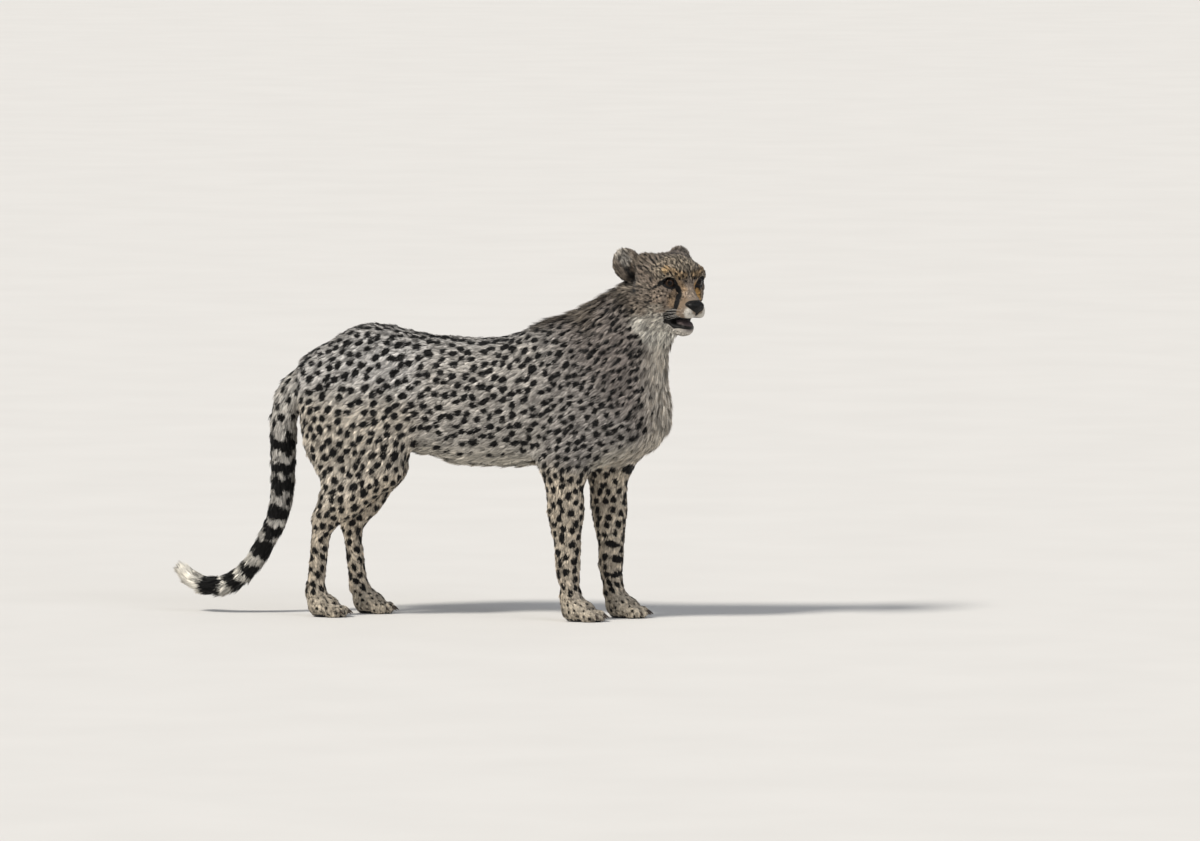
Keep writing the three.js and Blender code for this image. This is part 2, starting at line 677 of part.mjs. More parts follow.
function head() {
  const group = new THREE.Group();
  group.applyMatrix4(headFrame);
  const inHead = placed(wholeField, headFrame.clone().invert());
  const grown = (x, y, z) => inHead(x, y, z) - GAP;
  let whole = CUTS.headInHead.ahead(solid(polygonise(inHead, ...HEAD_BOX, FACET.head)));
  const swollen = solid(polygonise(grown, ...HEAD_BOX, FACET.head));

  const nose = ellipsoid([NOSE.x, 0, NOSE.z], [NOSE.length, NOSE.width, NOSE.height]);
  const bed = [NOSE.length, NOSE.width, NOSE.height].map((r) => r + GAP);
  whole = whole.subtract(solid(ellipsoid([NOSE.x, 0, NOSE.z], bed)));
  group.add(mesh("nose", nose, gloss(NOSE_BLACK, 0.45)));

  for (const [name, side] of Object.entries(SIDES)) {
    const at = [EYE.x, side * EYE.y, EYE.z];
    const size = [EYE.radius, EYE.radius, EYE.radius];
    whole = whole.subtract(solid(ellipsoid(at, size.map((r) => r + GAP))));
    group.add(mesh(`eye_${name}`, ellipsoid(at, size), gloss(AMBER, 0.1)));
    const pinna = largest(earSolid(side).subtract(swollen));
    group.add(mesh(`ear_${name}`, pinna, fur(SMOKE)));
  }
  const upper = CUTS.jawTop.ahead(whole).add(CUTS.jawBack.behind(whole));
  const lower = CUTS.jawTop.behind(CUTS.jawBack.ahead(whole));
  group.add(mesh("head", largest(upper), fur(BUFF)));
  group.add(mesh("lower_jaw", largest(lower), fur(PALE)));
  return group;
}

// ---- the whole animal ------------------------------------------------------------------------------------

const cheetah = new THREE.Group();
cheetah.add(...trunk(), ...tail(), head());
for (const [name, side] of Object.entries(SIDES)) cheetah.add(...foreleg(name, side), ...hindleg(name, side));

// The middle of the whole outline, tail and claws included, comes over the origin.
const middle = new THREE.Box3().setFromObject(cheetah, true).getCenter(new THREE.Vector3());
cheetah.position.set(-middle.x, -middle.y, 0);

export default cheetah;
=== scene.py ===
"""A young cheetah standing alert with its head turned, life size, as a still museum model.

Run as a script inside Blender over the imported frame. Shapes are worked out in millimetres in the frame's own
axes (+X to the animal's front, +Y to its left, +Z up) and turned to metres when a mesh is made.
"""

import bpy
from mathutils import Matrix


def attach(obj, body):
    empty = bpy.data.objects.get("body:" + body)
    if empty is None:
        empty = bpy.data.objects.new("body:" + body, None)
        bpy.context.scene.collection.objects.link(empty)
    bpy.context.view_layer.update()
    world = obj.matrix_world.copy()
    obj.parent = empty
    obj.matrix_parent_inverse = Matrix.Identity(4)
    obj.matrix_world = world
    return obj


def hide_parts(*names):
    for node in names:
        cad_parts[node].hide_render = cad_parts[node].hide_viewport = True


bl_info = {
    "name": "Young Cheetah",
    "version": (1, 0, 0),
    "blender": (4, 5, 0),
    "location": "3D View > Sidebar > Cheetah",
    "description": "Skin, spotted coat, eyes, nose, claws and whiskers of a young cheetah",
    "category": "Object",
}

import math

import bmesh
import bpy
import numpy as np
from mathutils import Vector
from mathutils.bvhtree import BVHTree

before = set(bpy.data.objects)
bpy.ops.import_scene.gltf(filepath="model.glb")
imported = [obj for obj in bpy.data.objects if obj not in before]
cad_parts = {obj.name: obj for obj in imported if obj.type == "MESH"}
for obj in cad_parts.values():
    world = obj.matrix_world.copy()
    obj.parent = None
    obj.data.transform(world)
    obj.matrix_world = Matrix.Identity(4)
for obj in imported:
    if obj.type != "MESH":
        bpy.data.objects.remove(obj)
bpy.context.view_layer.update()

MM = 0.001
LEFT, RIGHT = 1, -1
BODY = "root"
MIDDLE = np.array([54.0, 6.6, 0.0])  # the maker's origin, under the middle of the trunk, in the frame's axes

# the head's own frame: origin on the middle plane at eye level, X out of the face, Y to its left, Z up
HEAD_AT = np.array([419.0, -36.0, 681.0]) + MIDDLE
HEAD_YAW, HEAD_PITCH = math.radians(-40.0), math.radians(4.0)
EYE_AT = np.array([33.0, 34.0, 1.0])  # left eye, in the head's frame
EYE_RADIUS = 14.0
EYE_OUT = math.radians(30.0)  # from straight ahead to the middle of the lids
GAZE_OUT = {LEFT: math.radians(-6.0), RIGHT: math.radians(28.0)}  # it looks a little to its right
NOSE_AT = np.array([77.5, 0.0, -42.0])

# the tail's middle line
TAIL_LINE = np.array([
    [-250, 0, 495], [-313, 0, 483], [-358, -1, 451], [-380, -3, 392], [-382, -4, 325], [-383, -5, 262],
    [-391, -5, 205], [-418, -5, 145], [-452, -4, 92], [-502, -2, 56], [-556, 0, 58], [-594, 2, 86],
], float) + MIDDLE

# ground position of each paw and its distance from the middle plane
PAWS = {
    "forepaw_right": (236, -53, 1.06), "forepaw_left": (304, 53, 1.06),
    "hindpaw_right": (-285, -51, 0.98), "hindpaw_left": (-215, 51, 0.98),
}
TOES = ((20, -21, -9), (32, -7.8, -3), (32, 7.8, 3), (20, 21, 9))  # ahead, aside, turn in degrees
TOE_SIZE = (18.0, 10.0, 13.5)
TOE_LEVEL = 11.5
BETWEEN_TOES = (-14.4, 0, 14.4)  # how far aside the grooves run


# ---- arithmetic on points ---------------------------------------------------------------------------------

def unit(v):
    """Vectors scaled to length 1."""
    return v / np.maximum(np.linalg.norm(v, axis=-1, keepdims=True), 1e-9)


def mix(a, b, t):
    """From a to b by the share t."""
    return a + (b - a) * t


def step(low, high, x):
    """0 below `low`, 1 above `high`, smooth between; `low` may be the larger."""
    t = np.clip((x - low) / (high - low), 0.0, 1.0)
    return t * t * (3.0 - 2.0 * t)


def dot(a, b):
    """The dot product of each pair of vectors."""
    return np.einsum("...i,...i->...", a, b)


def join(a, b, k):
    """Smooth union of two fields with a fillet about k wide."""
    h = np.maximum(k - np.abs(a - b), 0.0) / k
    return np.minimum(a, b) - h * h * k * 0.25


def carve(a, b, k):
    """Field a with b taken out of it."""
    return -join(-a, b, k)


def lump(p, centre, radii):
    """An ellipsoid's field."""
    return (np.linalg.norm((p - np.array(centre)) / np.array(radii), axis=-1) - 1.0) * min(radii)


def limb(p, a, b, ra, rb):
    """A tapered limb from a to b; each end has a radius in its plane and one across it, along Y."""
    a, b = np.array(a, float), np.array(b, float)
    e, d = p - a, b - a
    t = np.clip(e @ d / max(d @ d, 1e-9), 0.0, 1.0)
    r = e - t[..., None] * d
    side = r[..., 1]
    flat2 = np.maximum(0.0, dot(r, r) - side * side)
    deep, wide = mix(ra[0], rb[0], t), mix(ra[1], rb[1], t)
    return (np.sqrt(flat2 / deep**2 + side**2 / wide**2) - 1.0) * np.minimum(deep, wide)


def blend(shapes):
    """Smooth union of many (field, fillet)."""
    d = np.full(shapes[0][0].shape, 1e3)
    for field, k in shapes:
        d = join(d, field, k)
    return d


# directions and phases of the four waves that make up a waver
WAVES = (((0.8, 0.5, 0.3), 1.0), ((-0.4, 0.9, 0.6), 1.7), ((0.3, -0.6, 0.95), 2.3), ((1.3, 0.7, -0.9), 1.0))


def wander(p, phase, wave):
    """A smooth waver between -1 and 1 over space, with bumps about `wave` millimetres across."""
    q = p * (2 * math.pi / wave)
    return sum(np.sin(q @ np.array(way) + lag * phase) for way, lag in WAVES) / 4


def head_axes():
    """The head's X, Y and Z directions as rows."""
    cy, sy, cp, sp = math.cos(HEAD_YAW), math.sin(HEAD_YAW), math.cos(HEAD_PITCH), math.sin(HEAD_PITCH)
    return np.array([[cy * cp, sy * cp, -sp], [-sy, cy, 0.0], [cy * sp, sy * sp, cp]])


HEAD_AXES = head_axes()


def to_head(p):
    """Points of the frame in the head's own frame."""
    return (p - HEAD_AT) @ HEAD_AXES.T


def from_head(p):
    """Points of the head's own frame in the frame."""
    return np.asarray(p) @ HEAD_AXES + HEAD_AT


def mirrored(p):
    """Points folded onto the left half of the head."""
    return p * np.array([1.0, 0.0, 1.0]) + np.abs(p) * np.array([0.0, 1.0, 0.0])


# ---- the head's field -------------------------------------------------------------------------------------

LID_TILT = math.radians(14.0)
LID_WIDTH = 13.4  # half length of the eye's opening
LID_UP, LID_DOWN = 9.4, 4.2  # the opening's height above and below its corners
LID_INWARD, LID_LOW = 0.8, 1.8  # its middle, from the axis through the ball
LID_THICK = 1.9


def eye_plane(p):
    """Points near the left eye as (towards the outer corner, up, out along the lids' axis)."""
    e = p - EYE_AT
    c, s = math.cos(EYE_OUT), math.sin(EYE_OUT)
    out = e[..., 0] * c + e[..., 1] * s
    back = -e[..., 0] * s + e[..., 1] * c
    ct, st = math.cos(LID_TILT), math.sin(LID_TILT)
    return back * ct + e[..., 2] * st + LID_INWARD, e[..., 2] * ct - back * st + LID_LOW, out


def almond(p):
    """Signed distance across the eye's opening, from its edge."""
    u, v, _ = eye_plane(p)
    edges = []
    for height, way in ((LID_UP, 1.0), (LID_DOWN, -1.0)):
        r = (LID_WIDTH**2 + height**2) / (2.0 * height)
        edges.append(np.hypot(u, v - way * (height - r)) - r)
    return np.maximum(*edges)


def mouth_field(p):
    """The gap between the lips, rounded at the mouth's corners."""
    return limb(p, (41, 0, -73), (98, 0, -78), (8.5, 60), (10.5, 60))


def tongue_field(p):
    """The tongue, which lies in the mouth's gap."""
    return lump(p, (42, 0, -82), (28, 13.5, 11))


def nose_form(p):
    """The nose's bare leather without its openings, in the head's frame."""
    corners = 0.667 * np.abs(p[..., 1]) - 0.745 * p[..., 2] - 44.5
    d = carve(lump(p, NOSE_AT, (14, 20.5, 11.8)), -corners, 4)
    return join(d, limb(p, (82, 0, -50), (82.5, 0, -56), (5, 3.5), (2.5, 1.8)), 4)


def nose_field(p):
    """Bare nose leather with its two comma-shaped nostrils, in the head's frame."""
    m = mirrored(p)
    d = carve(nose_form(p), limb(m, (93, 6.5, -42), (86, 9.5, -42.5), (2.9, 3.4), (2.3, 2.8)), 1.5)
    d = carve(d, limb(m, (87, 10, -43.5), (77, 18.5, -44), (1.7, 1.7), (1.2, 1.2)), 1.2)
    return carve(d, limb(p, (94, 0, -44), (88, 0, -60), (1.0, 1.0), (1.5, 1.5)), 1.5)


def head_field(p):
    """The head without its ears, in its own frame, with lids and lips."""
    m = mirrored(p)
    skull = blend([
        (lump(p, (-15, 0, 6), (57, 59, 42)), 10),
        (lump(p, (17, 0, 14), (34, 48, 33)), 22),
        (lump(m, (-34, 36, 28), (27, 22, 20)), 16),
        (lump(m, (7, 38, -27), (37, 26, 34)), 22),
        (lump(m, (-30, 34, -40), (34, 27, 46)), 24),
        (lump(p, (-18, 0, -66), (46, 44, 34)), 26),
        (limb(m, (42, 16, 19), (28, 46, 15), (12, 12), (12, 12)), 12),
        (limb(p, (36, 0, -8), (76, 0, -41), (21, 18), (13, 14)), 16),
        (limb(p, (26, 0, -40), (60, 0, -50), (32, 36), (19, 26)), 16),
        (lump(m, (66, 13.5, -54.5), (19, 16, 17)), 9),
    ])
    jaw = blend([
        (limb(m, (-10, 32, -62), (39, 11, -87), (20, 14), (12, 12)), 16),
        (lump(p, (47, 0, -91), (18.5, 18, 14.5)), 12),
        (limb(p, (-14, 0, -74), (38, 0, -87), (18, 28), (11, 13)), 14),
    ])
    d = join(skull, jaw, 7)
    d = carve(d, mouth_field(p), 4)
    d = join(d, tongue_field(p), 3)
    d = carve(d, limb(p, (91, 0, -55), (84, 0, -73), (1.8, 1.8), (1.8, 1.8)), 2.5)
    d = carve(d, lump(m, (41, 39, 1), (13, 12.5, 9.5)), 8)
    # hollow before the eye's inner corner, and a fold of skin over the upper lid
    d = carve(d, limb(m, (50, 25, -8), (58, 25, -24), (3.0, 3.0), (2.2, 2.2)), 9)
    ball = np.linalg.norm(m - EYE_AT, axis=-1)
    d = join(d, ball - EYE_RADIUS - LID_THICK, 5)
    _, v, out = eye_plane(m)
    edge = almond(m)
    fold = np.hypot(edge - 4.2, ball - EYE_RADIUS - LID_THICK - 1.0) - 1.1
    fold = np.where((v > 0) & (out > 0), fold, 9.0)
    d = carve(d, fold, 2.2)
    opening = np.maximum(np.maximum(edge, EYE_RADIUS - 0.7 - ball), 3.5 - out)
    d = carve(d, opening, 1.3)
    return carve(d, nose_form(p) - 0.5, 1.0)


def paw_field(p, x, y, size):
    """One paw in the frame's axes."""
    c = p - np.array([x, y, 0.0]) - MIDDLE
    shapes = [
        (lump(c, (-2, 0, 21), (33 * size, 26 * size, 23)), 8),
        (limb(c, (-22, 0, 46), (-6, 0, 24), (19, 21 * size), (21, 25 * size)), 16),
    ]
    for ahead, aside, _ in TOES:
        radii = (TOE_SIZE[0], TOE_SIZE[1] * size, TOE_SIZE[2])
        shapes.append((lump(c, (ahead * size, aside * size, TOE_LEVEL), radii), 4))
    d = blend(shapes)
    for aside in BETWEEN_TOES:
        back, front = (16 * size, aside * size, 30), (54 * size, aside * size * 1.06, 9)
        d = carve(d, limb(c, back, front, (1.6, 1.6), (2.6, 2.2)), 4)
    return d


# ---- a triangle mesh as arrays ----------------------------------------------------------------------------

class Surface:
    """Points and triangles of a closed mesh, in millimetres, with their neighbours."""

    def __init__(self, points, faces):
        self.points, self.faces = points, faces
        self.link()

    def link(self):
        """Works out each point's neighbours."""
        f = self.faces
        pairs = np.concatenate([f[:, [0, 1]], f[:, [1, 2]], f[:, [2, 0]]])
        pairs = np.concatenate([pairs, pairs[:, ::-1]])
        keys = np.unique(pairs[:, 0].astype(np.int64) * len(self.points) + pairs[:, 1])
        self.start, self.to = keys // len(self.points), keys % len(self.points)
        self.first = np.searchsorted(self.start, np.arange(len(self.points)))
        self.count = np.bincount(self.start, minlength=len(self.points))[:, None]

    def around(self, values):
        """Each point's mean of its neighbours' values."""
        return np.add.reduceat(values[self.to], self.first, axis=0) / self.count

    def spread(self, values, rounds, rate=0.5):
        """Values evened out over the surface."""
        flat = values.ndim == 1
        v = values[:, None] if flat else values
        for _ in range(rounds):
            v = v + (self.around(v) - v) * rate
        return v[:, 0] if flat else v

    def normals(self):
        """Each point's normal."""
        p, f = self.points, self.faces
        n = np.cross(p[f[:, 1]] - p[f[:, 0]], p[f[:, 2]] - p[f[:, 0]])
        total = np.zeros_like(p)
        for corner in range(3):
            for axis in range(3):
                total[:, axis] += np.bincount(f[:, corner], n[:, axis], len(p))
        return unit(total)

    def calm(self, points, where, most, rounds=12):
        """Draws points that stand further than `most` from their neighbours' middle back among them."""
        for _ in range(rounds):
            middle = self.around(points)
            stray = where & (np.linalg.norm(points - middle, axis=1) > most)
            points[stray] = middle[stray]
        return points

    def keep_largest(self):
        """Drops every part that isn't joined to the largest one."""
        label = np.arange(len(self.points))
        while True:
            low = np.minimum(label, np.minimum.reduceat(label[self.to], self.first))
            low = low[low]
            if (low == label).all():
                break
            label = low
        sizes = np.bincount(label)
        keep = label == sizes.argmax()
        order = np.cumsum(keep) - 1
        self.faces = order[self.faces[keep[self.faces[:, 0]]]]
        self.points = self.points[keep]
        self.link()


def mesh_object(name, points, faces):
    """A mesh object from points in millimetres."""
    mesh = bpy.data.meshes.new(name)
    faces = np.asarray(faces)
    mesh.vertices.add(len(points))
    mesh.vertices.foreach_set("co", (np.asarray(points) * MM).astype(np.float32).ravel())
    mesh.loops.add(faces.size)
    mesh.loops.foreach_set("vertex_index", faces.astype(np.int32).ravel())
    mesh.polygons.add(len(faces))
    mesh.polygons.foreach_set("loop_start", np.arange(0, faces.size, faces.shape[1], dtype=np.int32))
    mesh.update(calc_edges=True)
    mesh.polygons.foreach_set("use_smooth", np.full(len(faces), True))
    made = bpy.data.objects.new(name, mesh)
    bpy.context.scene.collection.objects.link(made)
    return made


def remove(made):
    """Deletes an object with its mesh."""
    mesh = made.data
    bpy.data.objects.remove(made)
    bpy.data.meshes.remove(mesh)


# ---- the skin's shape -------------------------------------------------------------------------------------

VOXEL = 3.3  # of the body's skin, in millimetres
SWELL = 0.45  # closes the gaps between the frame's solids
KEPT_SHARE = 0.4  # of the faces, once the trunk's are thinned
FLESH = [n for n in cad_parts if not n.startswith("eye")]


def gathered():
    """The frame's flesh as one closed mesh of even quads, and each of its points' nearest node."""
    joined = bmesh.new()
    owners = []
    for name in FLESH:
        part = bmesh.new()
        part.from_mesh(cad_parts[name].data)
        bmesh.ops.remove_doubles(part, verts=part.verts, dist=1e-5)
        bmesh.ops.recalc_face_normals(part, faces=part.faces)
        part.normal_update()
        for v in part.verts:
            v.co += v.normal * SWELL * MM
        mesh = bpy.data.meshes.new("part")
        part.to_mesh(mesh)
        part.free()
        joined.from_mesh(mesh)
        owners += [name] * len(mesh.polygons)
        bpy.data.meshes.remove(mesh)
    nearest = BVHTree.FromBMesh(joined)
    mesh = bpy.data.meshes.new("flesh")
    joined.to_mesh(mesh)
    joined.free()
    made = bpy.data.objects.new("flesh", mesh)
    bpy.context.scene.collection.objects.link(made)
    even = made.modifiers.new("even", "REMESH")
    even.mode = "VOXEL"
    even.voxel_size = VOXEL * MM
    done = bpy.data.meshes.new_from_object(made.evaluated_get(bpy.context.evaluated_depsgraph_get()))
    remove(made)
    return thinned(done), nearest, np.array(owners)


def before_nape(h):
    """How far points lie ahead of the slanted plane where the head meets the neck, 1.085 to a millimetre."""
    return (h[:, 0] + 44) + 0.42 * (h[:, 2] + 40)


def fine_region(points):
    """True for the head with its ears, and for the paws."""
    h = to_head(points)
    head = (before_nape(h) > -8) & (h[:, 2] > -122) & (np.abs(h[:, 1]) < 100)
    ears = (h[:, 2] > 0) & (h[:, 0] > -110) & (np.abs(h[:, 1]) < 110)
    paws = (points[:, 2] < 44) & (points[:, 0] > -340)
    return head | ears | paws


def thinned(mesh):
    """The mesh with larger faces on the trunk, the legs and the tail."""
    points = np.array([v.co for v in mesh.vertices]) / MM
    made = bpy.data.objects.new("flesh", mesh)
    bpy.context.scene.collection.objects.link(made)
    plain = made.vertex_groups.new(name="plain")
    plain.add(np.flatnonzero(~fine_region(points)).tolist(), 1.0, "REPLACE")
    thin = made.modifiers.new("thin", "DECIMATE")
    thin.ratio = KEPT_SHARE
    thin.vertex_group = plain.name
    done = bpy.data.meshes.new_from_object(made.evaluated_get(bpy.context.evaluated_depsgraph_get()))
    remove(made)
    return done


def refine(mesh):
    """Splits the quads of the head, and again round the eyes, nose and mouth, into triangles."""
    shape = bmesh.new()
    shape.from_mesh(mesh)
    bpy.data.meshes.remove(mesh)
    for fine in (False, True):
        shape.verts.ensure_lookup_table()
        p = np.array([v.co for v in shape.verts]) / MM
        h = to_head(p)
        m = mirrored(h)
        if fine:
            chosen = np.linalg.norm(m - EYE_AT - (4, 2, 0), axis=1) < 25
            chosen |= (h[:, 0] > 56) & (np.abs(h[:, 2] + 62) < 22)
        else:
            chosen = (before_nape(h) > 0) & (np.abs(h[:, 1]) < 80) & (h[:, 2] > -120)
        for v, c in zip(shape.verts, chosen):
            v.select = bool(c)
        edges = [e for e in shape.edges if e.verts[0].select and e.verts[1].select]
        bmesh.ops.subdivide_edges(shape, edges=edges, cuts=1, use_grid_fill=True)
    bmesh.ops.triangulate(shape, faces=shape.faces)
    shape.verts.ensure_lookup_table()
    points = np.array([v.co for v in shape.verts]) / MM
    faces = np.array([[v.index for v in f.verts] for f in shape.faces])
    shape.free()
    return Surface(points, faces)


def project(points, field, weight, rounds=5):
    """Moves points onto a field's surface, as far as their weight."""
    on = np.flatnonzero(weight > 0)
    p = points[on].copy()
    start = p.copy()
    h = 0.4
    for _ in range(rounds):
        d = field(p)
        g = np.stack([field(p + h * axis) - field(p - h * axis) for axis in np.eye(3)], axis=1) / (2 * h)
        p -= (d / np.maximum(dot(g, g), 0.09) * 0.9)[:, None] * g
    points[on] = start + (p - start) * weight[on, None]
    return points


# ---- regions of the body ----------------------------------------------------------------------------------

# what the coat is like in each region: depth of the coat over the skin, length and width of a tuft, all in
# millimetres, the lift of a tuft in degrees, tufts per square millimetre, spacing and radius of the spots and
# the coat's own colour, as sRGB hex
REGIONS = {
    #           depth length width lift dense space radius colour
    "muzzle": (0.7, 3.2, 0.8, 9, 2.2, 9.0, 0.0, "#857768"),
    "face": (1.4, 4.8, 0.85, 10, 1.9, 9.0, 0.0, "#8e8072"),
    "brow": (2.2, 9.0, 0.95, 27, 1.7, 7.4, 2.6, "#978b7a"),
    "crown": (4.0, 19.0, 1.2, 38, 1.2, 8.0, 2.9, "#7b7065"),
    "cheek": (3.2, 11.0, 1.0, 17, 1.4, 10.5, 2.6, "#877c70"),
    "throat": (6.5, 19.0, 1.3, 21, 0.9, 30.0, 1.5, "#dedad0"),
    "fringe": (5.0, 18.0, 1.2, 38, 1.1, 8.0, 2.8, "#71675b"),
    "ear": (0.8, 6.0, 0.95, 14, 1.5, 30.0, 0.0, "#5f564d"),
    "ear_inner": (0.5, 11.0, 1.0, 30, 1.2, 30.0, 0.0, "#746a5f"),
    "mane": (11.0, 36.0, 1.6, 34, 0.6, 14.5, 6.0, "#7b7267"),
    "neck": (6.5, 20.0, 1.5, 19, 0.66, 13.5, 6.2, "#88807a"),
    "chest": (8.5, 27.0, 1.6, 20, 0.6, 30.0, 3.5, "#cdc5b8"),
    "shoulder": (5.0, 16.0, 1.55, 16, 0.66, 15.2, 7.4, "#99948f"),
    "back": (5.0, 15.5, 1.6, 15, 0.62, 18.0, 8.9, "#9d9a96"),
    "flank": (5.5, 17.0, 1.6, 16, 0.6, 18.3, 9.1, "#b5b0a9"),
    "belly": (8.0, 27.0, 1.6, 23, 0.6, 30.0, 6.2, "#cbc5b9"),
    "rump": (5.0, 16.0, 1.6, 15, 0.62, 18.8, 9.6, "#bdbab6"),
    "thigh": (5.0, 16.0, 1.6, 15, 0.62, 18.8, 9.3, "#c6bdaf"),
    "leg": (3.6, 11.5, 1.35, 14, 0.85, 17.5, 8.6, "#c8bcaa"),
    "paw": (2.2, 6.5, 1.1, 12, 1.2, 13.0, 3.0, "#c0b5a3"),
    "tail": (7.0, 21.0, 1.6, 18, 0.75, 22.0, 9.2, "#c1bdb6"),
    "tail_tip": (8.0, 28.0, 1.6, 21, 0.75, 40.0, 0.0, "#dedad0"),
}
REGION_NAMES = list(REGIONS)
HEAD_NODES = ["head", "lower_jaw", "nose"]


def both_sides(table):
    """The table with each name that ends in an underscore given to the left and the right side."""
    out = {}
    for name, value in table.items():
        for whole in (name + "left", name + "right") if name.endswith("_") else (name,):
            out[whole] = value
    return out


NODE_REGION = both_sides({
    "head": "cheek", "lower_jaw": "throat", "nose": "muzzle", "ear_": "ear", "neck": "neck",
    "chest": "shoulder", "loin": "flank", "hips": "rump", "forearm_": "leg", "forepaw_": "paw",
    "thigh_": "thigh", "shank_": "leg", "hindpaw_": "paw",
    "tail_base": "tail", "tail_middle": "tail", "tail_tip": "tail_tip",
})

EAR_UP = unit(np.array([-0.467, 0.435, 0.769]))  # of the left ear, in the head's frame
EAR_FRONT = unit(np.array([0.869, 0.387, 0.309]))

# middle lines of the mane, of the chest's long hair and of the fringe before the left ear, and their reach
MANE = np.array([[176, 0, 560], [262, 0, 606], [322, -2, 646], [372, -18, 706]]) + MIDDLE
CHEST = np.array([[395, 0, 560], [392, -2, 430], [346, 0, 358], [250, 0, 335]]) + MIDDLE
FRINGE = np.array([[-44, 56, 34], [-22, 48, 42], [-26, 20, 50]], float)
MANE_REACH, CHEST_REACH, FRINGE_REACH = 46, 52, 17


def near_line(points, line):
    """Distance to a broken line, how far along it that is in millimetres, and the line's direction there."""
    best = np.full(len(points), 1e9)
    along = np.zeros(len(points))
    way = np.zeros((len(points), 3))
    done = 0.0
    for a, b in zip(line[:-1], line[1:]):
        d = b - a
        size = np.linalg.norm(d)
        t = np.clip((points - a) @ d / size**2, 0, 1)
        gap = np.linalg.norm(points - a - t[:, None] * d, axis=1)
        closer = gap < best
        best[closer], along[closer], way[closer] = gap[closer], done + t[closer] * size, d / size
        done += size
    return best, along, way


def facing_ear_front(h, normals):
    """How squarely the skin faces the way its side's ear opens, from -1 to 1; h is in the head's frame."""
    flip = np.stack([np.ones(len(h)), np.where(h[:, 1] > 0, 1.0, -1.0), np.ones(len(h))], axis=1)
    return dot(normals @ HEAD_AXES.T, EAR_FRONT * flip)


def region_of(points, normals, node):
    """The name of each point's region, as an index in REGION_NAMES."""
    names = np.array([NODE_REGION[n] for n in node], dtype=object)
    p = points - MIDDLE
    h = to_head(points)
    on_head = np.isin(node, HEAD_NODES)
    trunk = np.isin(node, ["chest", "loin", "hips"])
    names[trunk & (normals[:, 2] > 0.62)] = "back"
    names[trunk & (p[:, 2] < 400) & (normals[:, 2] < -0.55)] = "belly"
    names[(node == "hips") & (p[:, 2] < 440) & (names != "belly")] = "thigh"
    names[(node == "chest") & (p[:, 0] < 165) & (names == "shoulder")] = "flank"
    mane, _, _ = near_line(points, MANE)
    mane = mane + 15 * wander(points, 1.3, 75)
    names[np.isin(node, ["neck", "chest", "head"]) & (mane < MANE_REACH) & (h[:, 0] < -24)] = "mane"
    front, _, _ = near_line(points, CHEST)
    names[np.isin(node, ["neck", "chest"]) & (front < CHEST_REACH) & (np.abs(p[:, 1]) < 62)] = "chest"
    names[(names == "paw") & (p[:, 2] > 50)] = "leg"
    names[on_head & (h[:, 2] > 22)] = "crown"
    by_ear, _, _ = near_line(mirrored(h), FRINGE)
    names[on_head & (by_ear < FRINGE_REACH) & (h[:, 1] < 20)] = "fringe"
    names[(names == "ear") & (facing_ear_front(h, normals) > 0.35)] = "ear_inner"
    names[on_head & (h[:, 2] > 8) & (h[:, 0] > 8)] = "brow"
    names[on_head & (h[:, 0] > 14) & (h[:, 2] < 8)] = "face"
    names[on_head & (h[:, 2] < -68) & (h[:, 0] < 46)] = "throat"
    names[on_head & (h[:, 0] > 46) & (h[:, 2] < -30)] = "muzzle"
    index = {n: i for i, n in enumerate(REGION_NAMES)}
    return np.array([index[n] for n in names])


# coloured patches of the head: colour, strength, width and the line followed, in the head's frame on its left
# side; the last value is its strength on the right side. Two golden patches below the left eye are painted
# sunlight, strong on the left cheek and faint on the right
FACE_PATCHES = (
    ("#b99a6c", 0.75, 7, ((41, 46, 24), (38, 41, 28)), 1.0),
    ("#b18c58", 0.45, 7, ((46, 34, 22), (53, 24, 16), (57, 10, 14)), 1.0),
    ("#ad8a5c", 0.35, 7, ((50, 26, 6), (56, 18, -2), (60, 14, -10)), 1.0),
    # painted sunlight on the left cheek, below the eye
    ("#b88a4c", 0.8, 7, ((54, 22, -4), (60, 18, -14), (64, 17, -28)), 0.1),
    # painted sunlight on the left cheek, weaker on the right
    ("#bf9352", 0.85, 9, ((50, 26, -14), (47, 32, -26), (48, 34, -38)), 0.25),
    ("#86715a", 0.6, 10, ((66, 20, -34), (60, 26, -48), (50, 30, -56)), 1.0),
    ("#dedad0", 0.85, 8.5, ((85, 22, -51), (82, 18, -60), (81, 8, -66), (80, 0, -68)), 1.0),
    ("#cfc9bf", 0.9, 15, ((72, 0, -97), (56, 14, -98), (40, 18, -96)), 1.0),
    ("#d3cec4", 0.85, 17, ((22, 40, -76), (10, 46, -74), (-4, 42, -84)), 1.0),
    ("#c9c2b4", 0.5, 8, ((30, 50, -46), (18, 56, -50), (8, 58, -56)), 1.0),
    ("#6b5f54", 0.6, 12, ((20, 58, 10), (2, 60, 8), (-20, 58, 10)), 1.0),
    ("#5a4f50", 1.0, 19, ((66, 0, -76), (40, 0, -76)), 1.0),  # tongue, between the lips
    ("#0f0c0a", 1.0, 13, ((-56, 62, 14), (-52, 58, 8)), 1.0),  # painted shade in the ear's opening
    ("#6a5c4d", 0.7, 10, ((-52, 50, 26), (-46, 52, 14)), 1.0),
)
PALE_IN_EAR = np.array([[-70, 74, 44], [-66, 66, 34]], float)  # where the left ear's inside is palest


